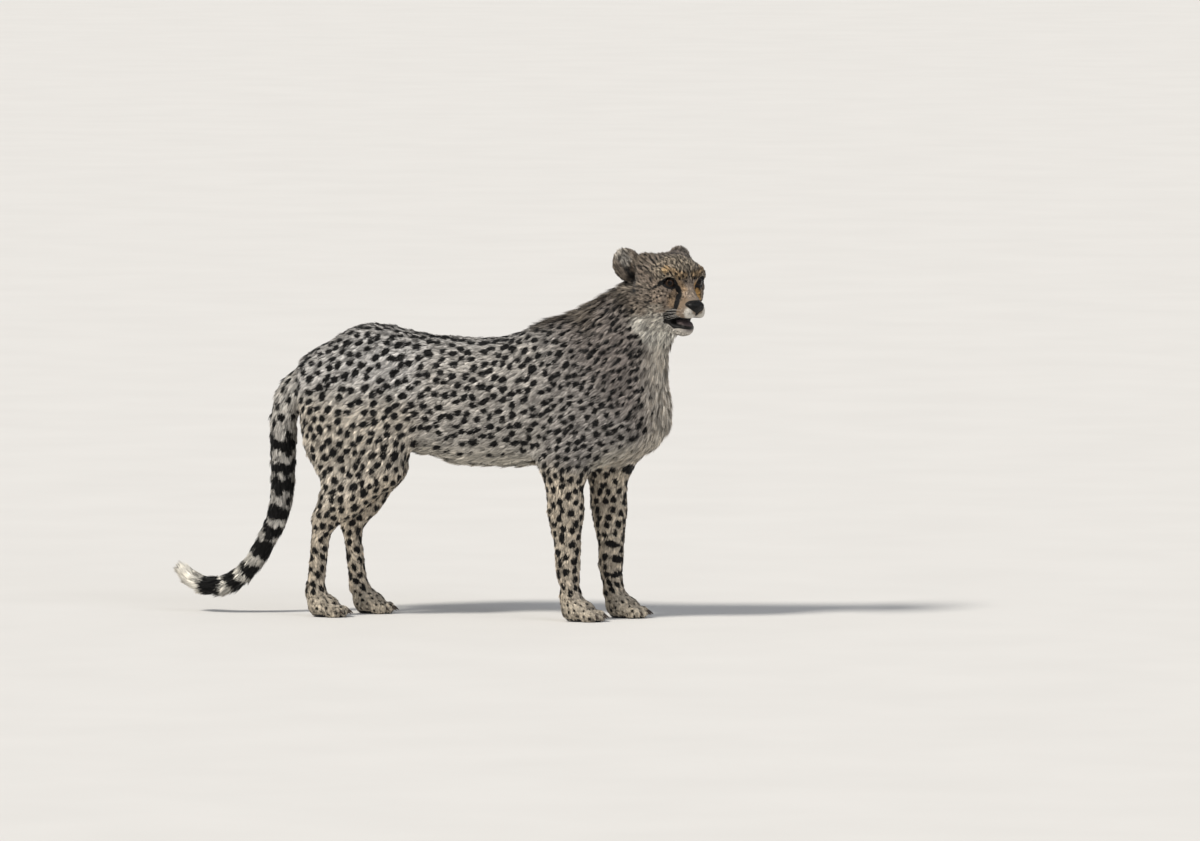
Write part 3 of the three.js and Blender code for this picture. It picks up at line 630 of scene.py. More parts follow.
def paint_head(h, normals, node, tint):
    """Lays the face's own colours and those of the ears over the regions', with painted sunlight on the left
    cheek and painted shade in the ears' openings; h is in the head's frame.
    """
    m = mirrored(h)
    for colour, strength, width, line, right in FACE_PATCHES:
        gap, _, _ = near_line(m, np.array(line, float))
        amount = strength * step(width * 1.35, width * 0.55, gap) * np.where(h[:, 1] > 0, 1.0, right)
        tint[:] = mix(tint, np.array(linear(colour)[:3]), amount[:, None])
    front = facing_ear_front(h, normals)
    on_ear = np.char.startswith(node.astype(str), "ear")
    pale, _, _ = near_line(m, PALE_IN_EAR)
    inner = step(0.3, 0.6, front) * on_ear * step(21, 9, pale) * np.where(h[:, 1] > 0, 0.4, 0.85)
    back = step(0.5, 0.1, front) * on_ear
    for colour, amount in (("#463e37", back), ("#aca69c", inner)):
        tint[:] = mix(tint, np.array(linear(colour)[:3]), amount[:, None])


# which way the coat lies on each node, before it is laid along the skin
NODE_LIE = both_sides({
    "neck": (-0.74, 0, -0.67), "chest": (-0.84, 0, -0.54), "loin": (-0.92, 0, -0.39),
    "hips": (-0.82, 0, -0.57), "forearm_": (-0.18, 0, -0.98), "forepaw_": (0.55, 0, -0.83),
    "thigh_": (-0.5, 0, -0.87), "shank_": (-0.4, 0, -0.92), "hindpaw_": (0.35, 0, -0.94),
})
FACE_CENTRE = (84, 0, -46)  # the head's coat lies away from here, the nose


def along_skin(way, normals):
    """The directions turned into the skin's own plane."""
    return unit(way - normals * dot(way, normals)[:, None])


def lie_of_coat(skin, normals, node, region):
    """The direction in which the coat lies at each point, along the skin."""
    way = np.zeros_like(skin.points)
    for name, d in NODE_LIE.items():
        way[node == name] = d
    for name, d in (("back", (-1, 0, -0.1)), ("chest", (-0.4, 0, -0.92)), ("belly", (-0.95, 0, -0.2))):
        way[region == REGION_NAMES.index(name)] = d
    _, _, along = near_line(skin.points, TAIL_LINE)
    tail = np.char.startswith(node.astype(str), "tail")
    way[tail] = along[tail]
    h = to_head(skin.points)
    on_head = np.isin(node, HEAD_NODES)
    away = unit(h - FACE_CENTRE)
    away[:, 2] -= 0.5 * step(0, -60, h[:, 2]) * step(60, 0, h[:, 0])
    way[on_head] = (away @ HEAD_AXES)[on_head]
    for side, name in ((LEFT, "ear_left"), (RIGHT, "ear_right")):
        way[node == name] = (EAR_UP * (1, side, 1)) @ HEAD_AXES
    way = along_skin(way, normals)
    for _ in range(14):
        way = along_skin(way + skin.around(way) * 2.0, normals)
    return way


# ---- markings ---------------------------------------------------------------------------------------------

OUTSIDE = -30.0  # the depth, in millimetres, of a point far outside every mark


class Slabs:
    """Points in order of X, to find quickly those close to a place."""

    def __init__(self, points):
        self.order = np.argsort(points[:, 0], kind="stable")
        self.points = points[self.order]
        self.x = np.ascontiguousarray(self.points[:, 0])

    def close_to(self, place, reach):
        """The numbers of the points within reach of a place, and the ways from it to them."""
        low, high = np.searchsorted(self.x, (place[0] - reach, place[0] + reach))
        gap = self.points[low:high] - place
        near = dot(gap, gap) < reach * reach
        return self.order[low:high][near], gap[near]


LEAST_RADIUS = 0.9  # of a spot; a region with smaller ones has none


def spot_centres(skin, normals, space, radius, rng):
    """Points spread evenly over the skin, about `space` apart, each with half its gap to the next but one."""
    slabs = Slabs(skin.points)
    taken = radius < LEAST_RADIUS
    chosen = []
    for i in rng.permutation(len(skin.points)):
        if taken[i]:
            continue
        chosen.append(i)
        near, _ = slabs.close_to(skin.points[i], 0.86 * space[i])
        taken[near[normals[near] @ normals[i] > -0.2]] = True
    chosen = np.array(chosen)
    between = Slabs(skin.points[chosen])
    room = []
    for i in chosen:
        near, gap = between.close_to(skin.points[i], 2.0 * space[i])
        gaps = np.sort(np.linalg.norm(gap[normals[chosen[near]] @ normals[i] > 0], axis=1))
        room.append(gaps[1] / 2 if len(gaps) > 1 else space[i])
    return chosen, np.array(room)


HAIR_RISE = 12  # how far off the skin a hair still takes the colour of the spot below it


def spot_depth(points, normals, spots):
    """How far inside the nearest spot each point lies, in millimetres; negative outside."""
    slabs = Slabs(points)
    depth = np.full(len(points), OUTSIDE)
    low, high = points.min(axis=0) - 30, points.max(axis=0) + 30
    for spot in spots:
        centre, normal, ahead, aside = spot[0:3], spot[3:6], spot[6:9], spot[9:12]
        radius, longer, lobes = spot[12], spot[13], spot[14:18]
        if (centre < low).any() or (centre > high).any():
            continue
        near, gap = slabs.close_to(centre, radius * 1.5 + HAIR_RISE)
        facing = normals[near] @ normal > 0.1
        near, gap = near[facing], gap[facing]
        u, v = gap @ ahead / longer, gap @ aside * longer
        angle = np.arctan2(v, u)
        waver = lobes[0] * np.sin(2 * angle + lobes[2]) + lobes[1] * np.sin(3 * angle + lobes[3])
        edge = radius * (1 + waver)
        depth[near] = np.maximum(depth[near], edge - np.hypot(u, v))
    return depth


# bolder marks at the top of the forelegs and inside the left one: place, radius and how much longer each is
# across the leg
BLOTCHES = (
    ((324, 40, 296), 19, 1.4), ((252, -44, 296), 12, 1.4), ((330, 55, 268), 9, 1.5),
    ((262, -56, 262), 9, 1.4), ((284, 30, 149), 11, 1.4), ((300, 30, 120), 11, 1.35),
    ((297, 30, 88), 10, 1.5),
)
BLOTCH_LOBES = (0.1, 0.08, 1.0, 2.0)
BLOTCH_CLEAR = 7  # round a bolder mark, where no other spot has its centre
SPOT_NUMBERS = 18  # place, normal, directions along and across, radius, stretch and four for its lobes
SPOT_TURN = 0.35  # how far a spot turns out of the coat's lie, in radians
SPOT_SIZES, SPOT_STRETCH = (0.74, 1.12), (1.0, 1.2)  # shares of its region's radius; length for width
DOT_RADIUS, DOT_STRETCH = 3, 1.25  # smaller spots are dots, longer still
SPOT_ROOM = 0.9  # the share of the room between spots that one may take


def make_spots(skin, normals, way, space, radius, rng):
    """The black spots, one row each."""
    spots = []
    radius = radius.copy()
    for place, size, longer in BLOTCHES:
        near = np.linalg.norm(skin.points - MIDDLE - place, axis=1) < size * longer + BLOTCH_CLEAR
        radius[near] = 0
    for i, room in zip(*spot_centres(skin, normals, space, radius, rng)):
        turn = rng.normal(0, SPOT_TURN)
        side = np.cross(normals[i], way[i])
        ahead = way[i] * math.cos(turn) + side * math.sin(turn)
        size = radius[i] * rng.uniform(*SPOT_SIZES)
        longer = rng.uniform(*SPOT_STRETCH) * (DOT_STRETCH if radius[i] < DOT_RADIUS else 1.0)
        lobes = [rng.uniform(0, 0.14), rng.uniform(0, 0.12), rng.uniform(0, 6.3), rng.uniform(0, 6.3)]
        aside = np.cross(normals[i], ahead)
        size = min(size, room * SPOT_ROOM)
        spots.append(np.hstack([skin.points[i], normals[i], ahead, aside, size, longer, lobes]))
    for place, size, longer in BLOTCHES:
        i = np.linalg.norm(skin.points - MIDDLE - place, axis=1).argmin()
        aside = np.cross(normals[i], way[i])
        spots.append(np.hstack([skin.points[i], normals[i], aside, way[i], size, longer, BLOTCH_LOBES]))
    return np.array(spots)


# the tail's black rings: the middle of each, in millimetres from the tail's root, and its half width
TAIL_RINGS = (
    (232, 9), (278, 11), (320, 11), (366, 12), (408, 12), (452, 14), (498, 15), (544, 17), (588, 18),
)


def ring_depth(points):
    """How far inside a black ring of the tail each point lies."""
    _, along, _ = near_line(points, TAIL_LINE)
    q = points / 23.0
    wave = 5.0 * np.sin(q[:, 1] * 2.1 + along * 0.05) + 3.0 * np.sin(q[:, 0] * 3.7 + q[:, 2] * 1.3)
    depth = np.full(len(points), OUTSIDE)
    for centre, half in TAIL_RINGS:
        depth = np.maximum(depth, half - np.abs(along + wave - centre))
    return depth


# dark lines of the face as points on its left side, each with its half width at both ends and the length of a
# dots, 0 where it is unbroken
FACE_LINES = (
    (((46, 21, -8), (51.6, 19.4, -17), (52.3, 22.4, -25), (54, 27, -34), (54.5, 29.5, -43), (50, 30, -54),
      (42, 32, -62)), 5.6, 5.6, 0),
    (((47, 33, -56), (40, 36, -62), (35, 38, -68), (33, 37, -77)), 5.5, 8.0, 0),
    (((33, 54, 2), (29, 57, -4), (16.6, 63.5, -12), (2, 66, -18)), 4.6, 1.4, 0),
    (((46, 33, -12), (36, 53, -14), (20, 63, -20), (1, 65, -32)), 2.4, 2.0, 9),
    (((46, 37, -24), (36, 55, -24), (19, 62, -34), (0, 61, -50)), 1.9, 2.2, 9),
    (((44, 40, -36), (34, 53, -38), (17, 57, -51), (0, 55, -64)), 1.6, 2.2, 9),
    (((46, 31, 33), (47, 31, 14)), 2.4, 1.9, 0),
    (((50, 13, 34), (55, 8, 17), (59, 7, 0)), 2.2, 1.5, 10),
    (((34, 50, 22), (24, 56, 16), (6, 60, 12)), 1.6, 2.0, 9),
)
PHILTRUM = np.array([[86, 0, -53], [84, 0, -62], [80, 0, -72]], float)
LAID = []


def laid_lines():
    """The face's lines on the head's surface, worked out once."""
    if not LAID:
        for line, *_ in FACE_LINES:
            points = np.array(line, float)
            LAID.append(project(points, head_field, np.ones(len(points)), 12))
    return LAID


def face_black(h):
    """How far inside a black line of the face each point lies; h is in the head's frame."""
    m = mirrored(h)
    depth = np.full(len(h), OUTSIDE)
    for (_, first, last, dots), line in zip(FACE_LINES, laid_lines()):
        gap, along, _ = near_line(m, line)
        size = np.linalg.norm(line[1:] - line[:-1], axis=1).sum()
        half = mix(first, last, along / size)
        if dots:
            half = half * (0.45 + 0.75 * np.sin(along * (2 * math.pi / dots)))
        depth = np.maximum(depth, half - gap)
    return depth


def face_bare_and_mouth_shade(h):
    """How far inside the bare black skin of lids, lips and nose each point lies, with the mouth's gap painted
    black as shade; h is in the head's frame.
    """
    m = mirrored(h)
    out = eye_plane(m)[2]
    lids = np.where(out > 0, 4.6 - np.abs(almond(m) - 0.8), OUTSIDE)
    lips = mix(7.0, 2.0, step(36, 56, m[:, 0])) + 3.8 * step(-78, -81, m[:, 2]) * step(34, 44, m[:, 0])
    # inside the mouth's gap the whole margin stays, so its hollow is painted black as shade
    lips = lips - np.maximum(mouth_field(h), 0)
    philtrum, _, _ = near_line(h, PHILTRUM)
    bare = np.max([lids, lips, 2.4 - nose_form(h), 1.5 - philtrum], axis=0)
    return np.where((tongue_field(h) < 1.5) & (mouth_field(h) < -1.0), 0.1, bare)


def markings(points, normals, spots, head, tail):
    """How far inside a black mark each point lies; head and tail say which points are there."""
    depth = spot_depth(points, normals, spots)
    if tail.any():
        depth[tail] = np.maximum(depth[tail], ring_depth(points[tail]))
    if head.any():
        depth[head] = np.maximum(depth[head], face_black(to_head(points[head])))
    return np.clip(depth, -4, 4)


# ---- colours and materials --------------------------------------------------------------------------------

A, B, MIXED = 6, 7, 2  # a colour mix's two inputs and its output, by number


def linear(hex_colour, alpha=1.0):
    """An sRGB hex colour as linear red, green, blue and alpha."""
    values = [int(hex_colour[i:i + 2], 16) / 255 for i in (1, 3, 5)]
    return tuple(v / 12.92 if v <= 0.04045 else ((v + 0.055) / 1.055) ** 2.4 for v in values) + (alpha,)


def add(tree, kind, settings=None, links=None):
    """Adds a node with its settings, by attribute or input, and links from other nodes' sockets. The setting
    `stops` holds a colour ramp's places and colours."""
    node = tree.nodes.new("ShaderNode" + kind)
    for key, value in (settings or {}).items():
        if key == "stops":
            for _ in value[2:]:
                node.color_ramp.elements.new(0.5)
            for element, (place, colour) in zip(node.color_ramp.elements, value):
                element.position, element.color = place, colour
        elif isinstance(key, str) and hasattr(node, key) and key not in node.inputs:
            setattr(node, key, value)
        else:
            node.inputs[key].default_value = value
    for key, socket in (links or {}).items():
        tree.links.new(socket, node.inputs[key])
    return node


def material(name, settings):
    """A new material with a Principled shader, as (material, node tree, shader)."""
    made = bpy.data.materials.new(name)
    made.use_nodes = True
    shader = made.node_tree.nodes["Principled BSDF"]
    for key, value in settings.items():
        shader.inputs[key].default_value = value
    return made, made.node_tree, shader


def mottled(tree, shader, across, dark, light, detail=2.0):
    """Clouds of two colours, about `across` millimetres wide, as the base colour; returns the clouds."""
    place = add(tree, "TexCoord").outputs["Object"]
    settings = {"Scale": 1 / (across * MM), "Detail": detail}
    cloud = add(tree, "TexNoise", settings, {"Vector": place}).outputs["Fac"]
    colour = add(tree, "ValToRGB", {"stops": ((0.3, linear(dark)), (0.7, linear(light)))}, {"Fac": cloud})
    tree.links.new(colour.outputs["Color"], shader.inputs["Base Color"])
    return cloud


UNDERFUR_GRAIN = 2.38  # millimetres from one clump of underfur to the next
UNDERFUR_SHADES = ((0.3, (0.62, 0.6, 0.58, 1)), (0.7, (0.95, 0.95, 0.95, 1)))
HAIR_SHADES = ((0.0, (0.62, 0.6, 0.58, 1)), (0.5, (0.98, 0.98, 0.98, 1)), (1.0, (1.1, 1.09, 1.08, 1)))


def coat_material(props, name, strand):
    """Short cheetah fur: dry keratin hair, matt with a faint sheen along the locks, black where the root's
    skin is black. `strand` is true for the tufts, false for the close underfur on the skin."""
    made, tree, shader = material(name, {
        "Roughness": 0.72, "IOR": 1.55, "Specular IOR Level": 0.2,
        "Sheen Weight": 0.08, "Sheen Roughness": 0.45,
    })
    tint = add(tree, "Attribute", {"attribute_name": "tint"}).outputs["Color"]
    depth = add(tree, "Attribute", {"attribute_name": "mark"}).outputs["Fac"]
    inside = add(tree, "MapRange", {"From Min": -0.9, "From Max": 0.9}, {"Value": depth}).outputs[0]
    if strand:
        stops = HAIR_SHADES
        pattern = add(tree, "Attribute", {"attribute_name": "along"}).outputs["Fac"]
    else:
        stops = UNDERFUR_SHADES
        place = add(tree, "TexCoord").outputs["Object"]
        grain = {"Scale": 1 / (UNDERFUR_GRAIN * MM), "Detail": 3.0}
        pattern = add(tree, "TexNoise", grain, {"Vector": place}).outputs["Fac"]
        bump = add(tree, "Bump", {"Strength": 0.5, "Distance": 0.0012}, {"Height": pattern})
        tree.links.new(bump.outputs["Normal"], shader.inputs["Normal"])
    shade = add(tree, "ValToRGB", {"stops": stops}, {"Fac": pattern}).outputs["Color"]
    shaded = add(tree, "Mix", {"data_type": "RGBA", "blend_type": "MULTIPLY", 0: 1.0}, {A: tint, B: shade})
    black = {"data_type": "RGBA", B: linear(props.spot_colour)}
    coat = add(tree, "Mix", black, {0: inside, A: shaded.outputs[MIXED]}).outputs[MIXED]
    if not strand:
        depth = add(tree, "Attribute", {"attribute_name": "bare"}).outputs["Fac"]
        bare = add(tree, "MapRange", {"From Min": 0.2, "From Max": 0.8}, {"Value": depth}).outputs[0]
        # black bare skin of lids, lips, nose and pads, and painted shade in the hollow of the mouth
        leather = {"data_type": "RGBA", B: linear("#0d0b0a")}
        coat = add(tree, "Mix", leather, {0: bare, A: coat}).outputs[MIXED]
        rough = add(tree, "MapRange", {"To Min": 0.75, "To Max": 0.55}, {"Value": bare})
        tree.links.new(rough.outputs[0], shader.inputs["Roughness"])
    tree.links.new(coat, shader.inputs["Base Color"])
    return made


# ---- the skin ---------------------------------------------------------------------------------------------

def nearest_node(nearest, owners, points):
    """The node nearest to each point."""
    found = [nearest.find_nearest(Vector(p * MM))[2] for p in points]
    return owners[np.array(found)]


TRUNK_ROUNDS, LOST_ROUNDS, FINE_ROUNDS = 34, 40, 3  # of evening out: trunk, what it lost, and fine parts
HEAD_STRAY, PAW_STRAY = 1.3, 2.2  # how far a point may stand from its neighbours' middle


def shaped_skin():
    """The skin's surface and each point's node."""
    mesh, nearest, owners = gathered()
    skin = refine(mesh)
    skin.keep_largest()
    node = nearest_node(nearest, owners, skin.points)
    h = to_head(skin.points)
    ears = np.char.startswith(node.astype(str), "ear").astype(float)
    head = np.isin(node, HEAD_NODES)
    on_head = step(0, 26, before_nape(h) / 1.085) * head
    paws = np.char.find(node.astype(str), "paw") > 0
    on_paw = paws * step(52, 36, skin.points[:, 2])
    # even out the frame's facets, then put back what that took from round forms
    slack = np.where(head | paws | (ears > 0), 0.0, 1.0)
    slack = skin.spread(slack, 10)[:, None]
    start = skin.points.copy()
    for _ in range(TRUNK_ROUNDS):
        skin.points = skin.points + (skin.around(skin.points) - skin.points) * 0.75 * slack
    normals = skin.normals()
    lost = dot(start - skin.points, normals)
    skin.points = skin.points + normals * (skin.spread(lost, LOST_ROUNDS) * slack[:, 0])[:, None]
    firm = 0.5 * (1 - slack) * (1 - 0.5 * ears[:, None])
    for _ in range(FINE_ROUNDS):
        skin.points = skin.points + (skin.around(skin.points) - skin.points) * firm
    h = to_head(skin.points)
    h = project(h, head_field, on_head)
    before_sockets = (on_head > 0) & (eye_plane(mirrored(h))[2] > 0)
    skin.points = from_head(skin.calm(h, before_sockets, HEAD_STRAY))
    for name, (x, y, size) in PAWS.items():
        mine = on_paw * (node == name)
        skin.points = project(skin.points, lambda p: paw_field(p, x, y, size), mine, 6)
    skin.points = skin.calm(skin.points, on_paw > 0, PAW_STRAY)
    return skin, node


REGION_ROUNDS, REGION_RATE = 16, 0.7  # of evening out one region's values into the next


def region_values(skin, normals, node):
    """Each point's region, and the regions' values evened out over the skin, as a dict of arrays."""
    region = region_of(skin.points, normals, node)
    share = skin.spread(np.eye(len(REGIONS))[region], REGION_ROUNDS, REGION_RATE)
    table = np.array([row[:-1] for row in REGIONS.values()])
    colours = np.array([linear(row[-1])[:3] for row in REGIONS.values()])
    names = ("depth", "length", "width", "lift", "dense", "space", "radius")
    values = share @ table
    out = {name: values[:, i] for i, name in enumerate(names)}
    # a spot keeps its own region's radius
    out["radius"] = table[region, names.index("radius")]
    out["tint"] = share @ colours
    return region, out


def write_attribute(mesh, name, values, kind=None):
    """Stores a number, a direction or a colour at each of the mesh's points."""
    values = np.asarray(values, np.float32)
    kind = kind or {1: "FLOAT", 2: "FLOAT_VECTOR"}[values.ndim]
    layer = mesh.attributes.new(name, kind, "POINT")
    if kind == "FLOAT_COLOR":
        values = np.concatenate([values, np.ones((len(values), 1), np.float32)], axis=1)
        layer.data.foreach_set("color", values.ravel())
    elif kind == "FLOAT":
        layer.data.foreach_set("value", values)
    else:
        layer.data.foreach_set("vector", values.ravel())


def read_attribute(mesh, name, width=1):
    """A stored attribute as an array, `width` numbers to a point."""
    layer = mesh.attributes[name]
    out = np.zeros(len(layer.data) * width, np.float32)
    layer.data.foreach_get({1: "value", 3: "vector", 4: "color"}[width], out)
    return out.astype(float).reshape(-1, width) if width > 1 else out.astype(float)


def unwrap(made):
    """An unwrap of the skin's own shape, named OFBake."""
    made.data.uv_layers.new(name="OFBake")
    bpy.ops.object.select_all(action="DESELECT")
    made.select_set(True)
    bpy.context.view_layer.objects.active = made
    bpy.ops.object.mode_set(mode="EDIT")
    bpy.ops.mesh.select_all(action="SELECT")
    bpy.ops.uv.smart_project(angle_limit=math.radians(75), island_margin=0.002)
    bpy.ops.object.mode_set(mode="OBJECT")


SOLE_FACING, SOLE_HEIGHT = (-0.45, -0.75), (9, 4)  # where the pads' bare skin begins and is whole
SKIN_CLEAR = 0.2  # of the skin above the floor


def bare_skin(points, normals, h, on_head):
    """How far inside a black line of the face and inside bare skin each point lies, with the mouth's gap
    painted black as shade, and its share of sole.
    """
    marks, bare = np.full(len(points), OUTSIDE), np.full(len(points), OUTSIDE)
    marks[on_head], bare[on_head] = face_black(h[on_head]), face_bare_and_mouth_shade(h[on_head])
    sole = step(*SOLE_FACING, normals[:, 2]) * step(*SOLE_HEIGHT, points[:, 2])
    return marks, np.where(sole > 0, np.maximum(bare, mix(-6.0, 4.0, sole)), bare), sole


class CHEETAH_OT_skin(bpy.types.Operator):
    """Makes one skin for the whole body, with its markings and the lie of its coat"""
    bl_idname = "cheetah.skin"
    bl_label = "Skin"

    def execute(self, context):
        props = context.scene.cheetah_coat
        rng = np.random.default_rng(props.seed)
        skin, node = shaped_skin()
        normals = skin.normals()
        region, values = region_values(skin, normals, node)
        way = lie_of_coat(skin, normals, node, region)
        h = to_head(skin.points)
        on_head = np.isin(node, HEAD_NODES)
        on_tail = np.char.startswith(node.astype(str), "tail")
        marks, bare, sole = bare_skin(skin.points, normals, h, on_head)
        # the coat is shallow and short beside the bare skin of the face
        calm = np.where(on_head, step(0.5, 9.0, -bare), 1.0)
        values["depth"] = values["depth"] * mix(0.2, 1.0, calm) * (1 - sole)
        values["length"] = values["length"] * np.where(on_head, mix(0.35, 1.0, step(0, 12, -bare)), 1.0)
        skin.points = skin.points - normals * values["depth"][:, None]
        skin.points[:, 2] = np.maximum(skin.points[:, 2], SKIN_CLEAR)
        # no spot on bare skin, on the face's lines or under the paws
        radius = values["radius"] * (bare < -4) * (marks < -3)
        radius[(normals[:, 2] < -0.6) & (skin.points[:, 2] < 30)] = 0
        paint_head(h, normals, node, values["tint"])
        spots = make_spots(skin, normals, way, values["space"], radius, rng)
        made = mesh_object("skin", skin.points, skin.faces)
        mesh = made.data
        write_attribute(mesh, "mark", markings(skin.points, normals, spots, on_head, on_tail))
        for name in ("length", "width", "lift", "dense"):
            write_attribute(mesh, name, values[name])
        write_attribute(mesh, "bare", bare)
        write_attribute(mesh, "lie", way)
        write_attribute(mesh, "tint", values["tint"], "FLOAT_COLOR")
        parts = np.unique(node)
        write_attribute(mesh, "part", np.searchsorted(parts, node))
        made["parts"] = [str(n) for n in parts]
        made["spots"] = spots.ravel().tolist()
        unwrap(made)
        mesh.materials.append(coat_material(props, "Underfur and skin, close cropped", False))
        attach(made, BODY)
        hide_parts(*[n for n in FLESH if n != "nose"])
        return {"FINISHED"}


# ---- the coat ---------------------------------------------------------------------------------------------

PIECE_TUFTS = 92000  # so that each piece of the coat stays under 200,000 triangles
PATCH = 0.003  # size of a tuft's patch in the OFBake map
TUFT_CORNERS = np.array([[0.0, -0.5], [0.5, 0.0], [-0.5, 0.0], [0.0, 0.5]])  # of that patch
ROOT_DEPTH = 0.4  # of a tuft's root below the skin
WIDEST = 0.45  # where a tuft is widest, as a share of its length
CLEAR_OF_FLOOR = 0.3
COAT_PARTS = {
    # name: distance between the locks' middles in millimetres, then the nodes
    "coat_head": (3.6, "head", "lower_jaw", "nose", "ear_left", "ear_right"),
    "coat_neck": (7.0, "neck"),
    "coat_shoulders": (6.2, "chest"),
    "coat_flanks": (6.2, "loin"),
    "coat_hips": (6.0, "hips"),
    "coat_thighs": (6.0, "thigh_left", "thigh_right"),
    "coat_forelegs": (4.8, "forearm_left", "forearm_right", "forepaw_left", "forepaw_right"),
    "coat_shanks": (4.8, "shank_left", "shank_right", "hindpaw_left", "hindpaw_right"),
    "coat_tail": (5.6, "tail_base", "tail_middle", "tail_tip"),
}


def areas(points, faces):
    """The area of each triangle."""
    p = points[faces]
    return np.linalg.norm(np.cross(p[:, 1] - p[:, 0], p[:, 2] - p[:, 0]), axis=1) / 2


def roots(points, faces, dense, rng):
    """Random places on the faces: each one's face and the weights of its corners."""
    number = np.floor(areas(points, faces) * dense + rng.random(len(faces))).astype(int)
    face = np.repeat(np.arange(len(faces)), number)
    r = np.sqrt(rng.random(len(face)))
    t = rng.random(len(face))
    return face, np.stack([1 - r, r * (1 - t), r * t], axis=1)


def lock_of(place, apart, rng):
    """Which lock each tuft belongs to, about `apart` millimetres from one lock's middle to the next."""
    cell = place / apart
    base = np.floor(cell).astype(np.int64)
    salt = rng.integers(1, 1 << 30, 3)
    best, owner = np.full(len(place), 1e9), np.zeros(len(place), np.int64)
    for shift in np.ndindex(3, 3, 3):
        at = base + np.array(shift) - 1
        key = (at[:, 0] * 73856093) ^ (at[:, 1] * 19349663) ^ (at[:, 2] * 83492791)
        jitter = np.stack([((key * s) >> 7) % 1009 / 1009.0 for s in (salt | 1)], axis=1)
        gap = at + jitter - cell
        size = dot(gap, gap)
        closer = size < best
        best[closer], owner[closer] = size[closer], key[closer]
    return np.unique(owner, return_inverse=True)[1]


class Locks:
    """The locks that a piece's tufts gather into: `of` is each tuft's own."""

    def __init__(self, place, apart, rng):
        self.of = lock_of(place, apart, rng)
        self.number = self.of.max() + 1

    def normal(self, rng, spread):
        """A random number for each lock, given to all its tufts."""
        return rng.normal(0, spread, self.number)[self.of]

    def mean(self, points):
        """The mean of each lock's points, given to all its tufts."""
        count = np.bincount(self.of, minlength=self.number)
        return np.stack([(np.bincount(self.of, v, self.number) / count)[self.of] for v in points.T], axis=1)


def tuft_shapes(place, normal, lie, full, width, lift, locks, rng):
    """Each tuft's root, middle, tip, direction, flat side and half width; `full` is the coat's own length."""
    n_tufts = len(place)
    length = full * rng.uniform(0.65, 1.25, n_tufts)
    half = (width * rng.uniform(0.7, 1.3, n_tufts) / 2)[:, None]
    lift = np.radians(lift + rng.normal(0, 4.0, n_tufts) + locks.normal(rng, 4.5))
    lift = lift * (1 + 0.35 * wander(place, 2.0, 26))
    swing = np.radians(10) * wander(place, 0.4, 38) + rng.normal(0, np.radians(6), n_tufts)
    swing = (swing + locks.normal(rng, np.radians(9)))[:, None]
    roll = rng.normal(0, 0.32, n_tufts)[:, None]
    ahead = lie * np.cos(swing) + unit(np.cross(normal, lie)) * np.sin(swing)
    flat = unit(np.cross(normal, ahead)) * np.cos(roll) + normal * np.sin(roll)
    rise, fall = lift[:, None] * 1.35, lift[:, None] * 0.45
    first = ahead * np.cos(rise) + normal * np.sin(rise)
    second = ahead * np.cos(fall) + normal * np.sin(fall)
    root = place - normal * ROOT_DEPTH
    middle = root + first * (length * WIDEST)[:, None]
    tip = middle + second * (length * (1 - WIDEST))[:, None]
    # the tips of a lock draw together
    middle = mix(middle, locks.mean(middle), 0.2)
    tip = mix(tip, locks.mean(tip) + ahead * ((length - full) * 0.6)[:, None], 0.5)
    return root, middle, tip, ahead, flat, half


def tuft_shades(place, on_head, locks, rng):
    """How much lighter or darker than the skin's own colour each tuft is."""
    shade = rng.normal(1.0, 0.15, len(place)) + locks.normal(rng, 0.26) + 0.06 * wander(place, 0.9, 60)
    # a few locks are smoky, most of all on the brow and crown, where others are nearly white
    draw = rng.random(locks.number)[locks.of]
    ticked = mix(0.5, 1.0, step(2, 14, to_head(place)[:, 2])) if on_head else np.zeros(len(place))
    shade = np.where(draw < mix(0.18, 0.36, ticked), shade * mix(0.55, 0.34, ticked), shade)
    shade = np.where(draw > mix(1.0, 0.86, ticked), shade * 1.5, shade)
    return np.clip(shade, 0.25, 1.7)[:, None]


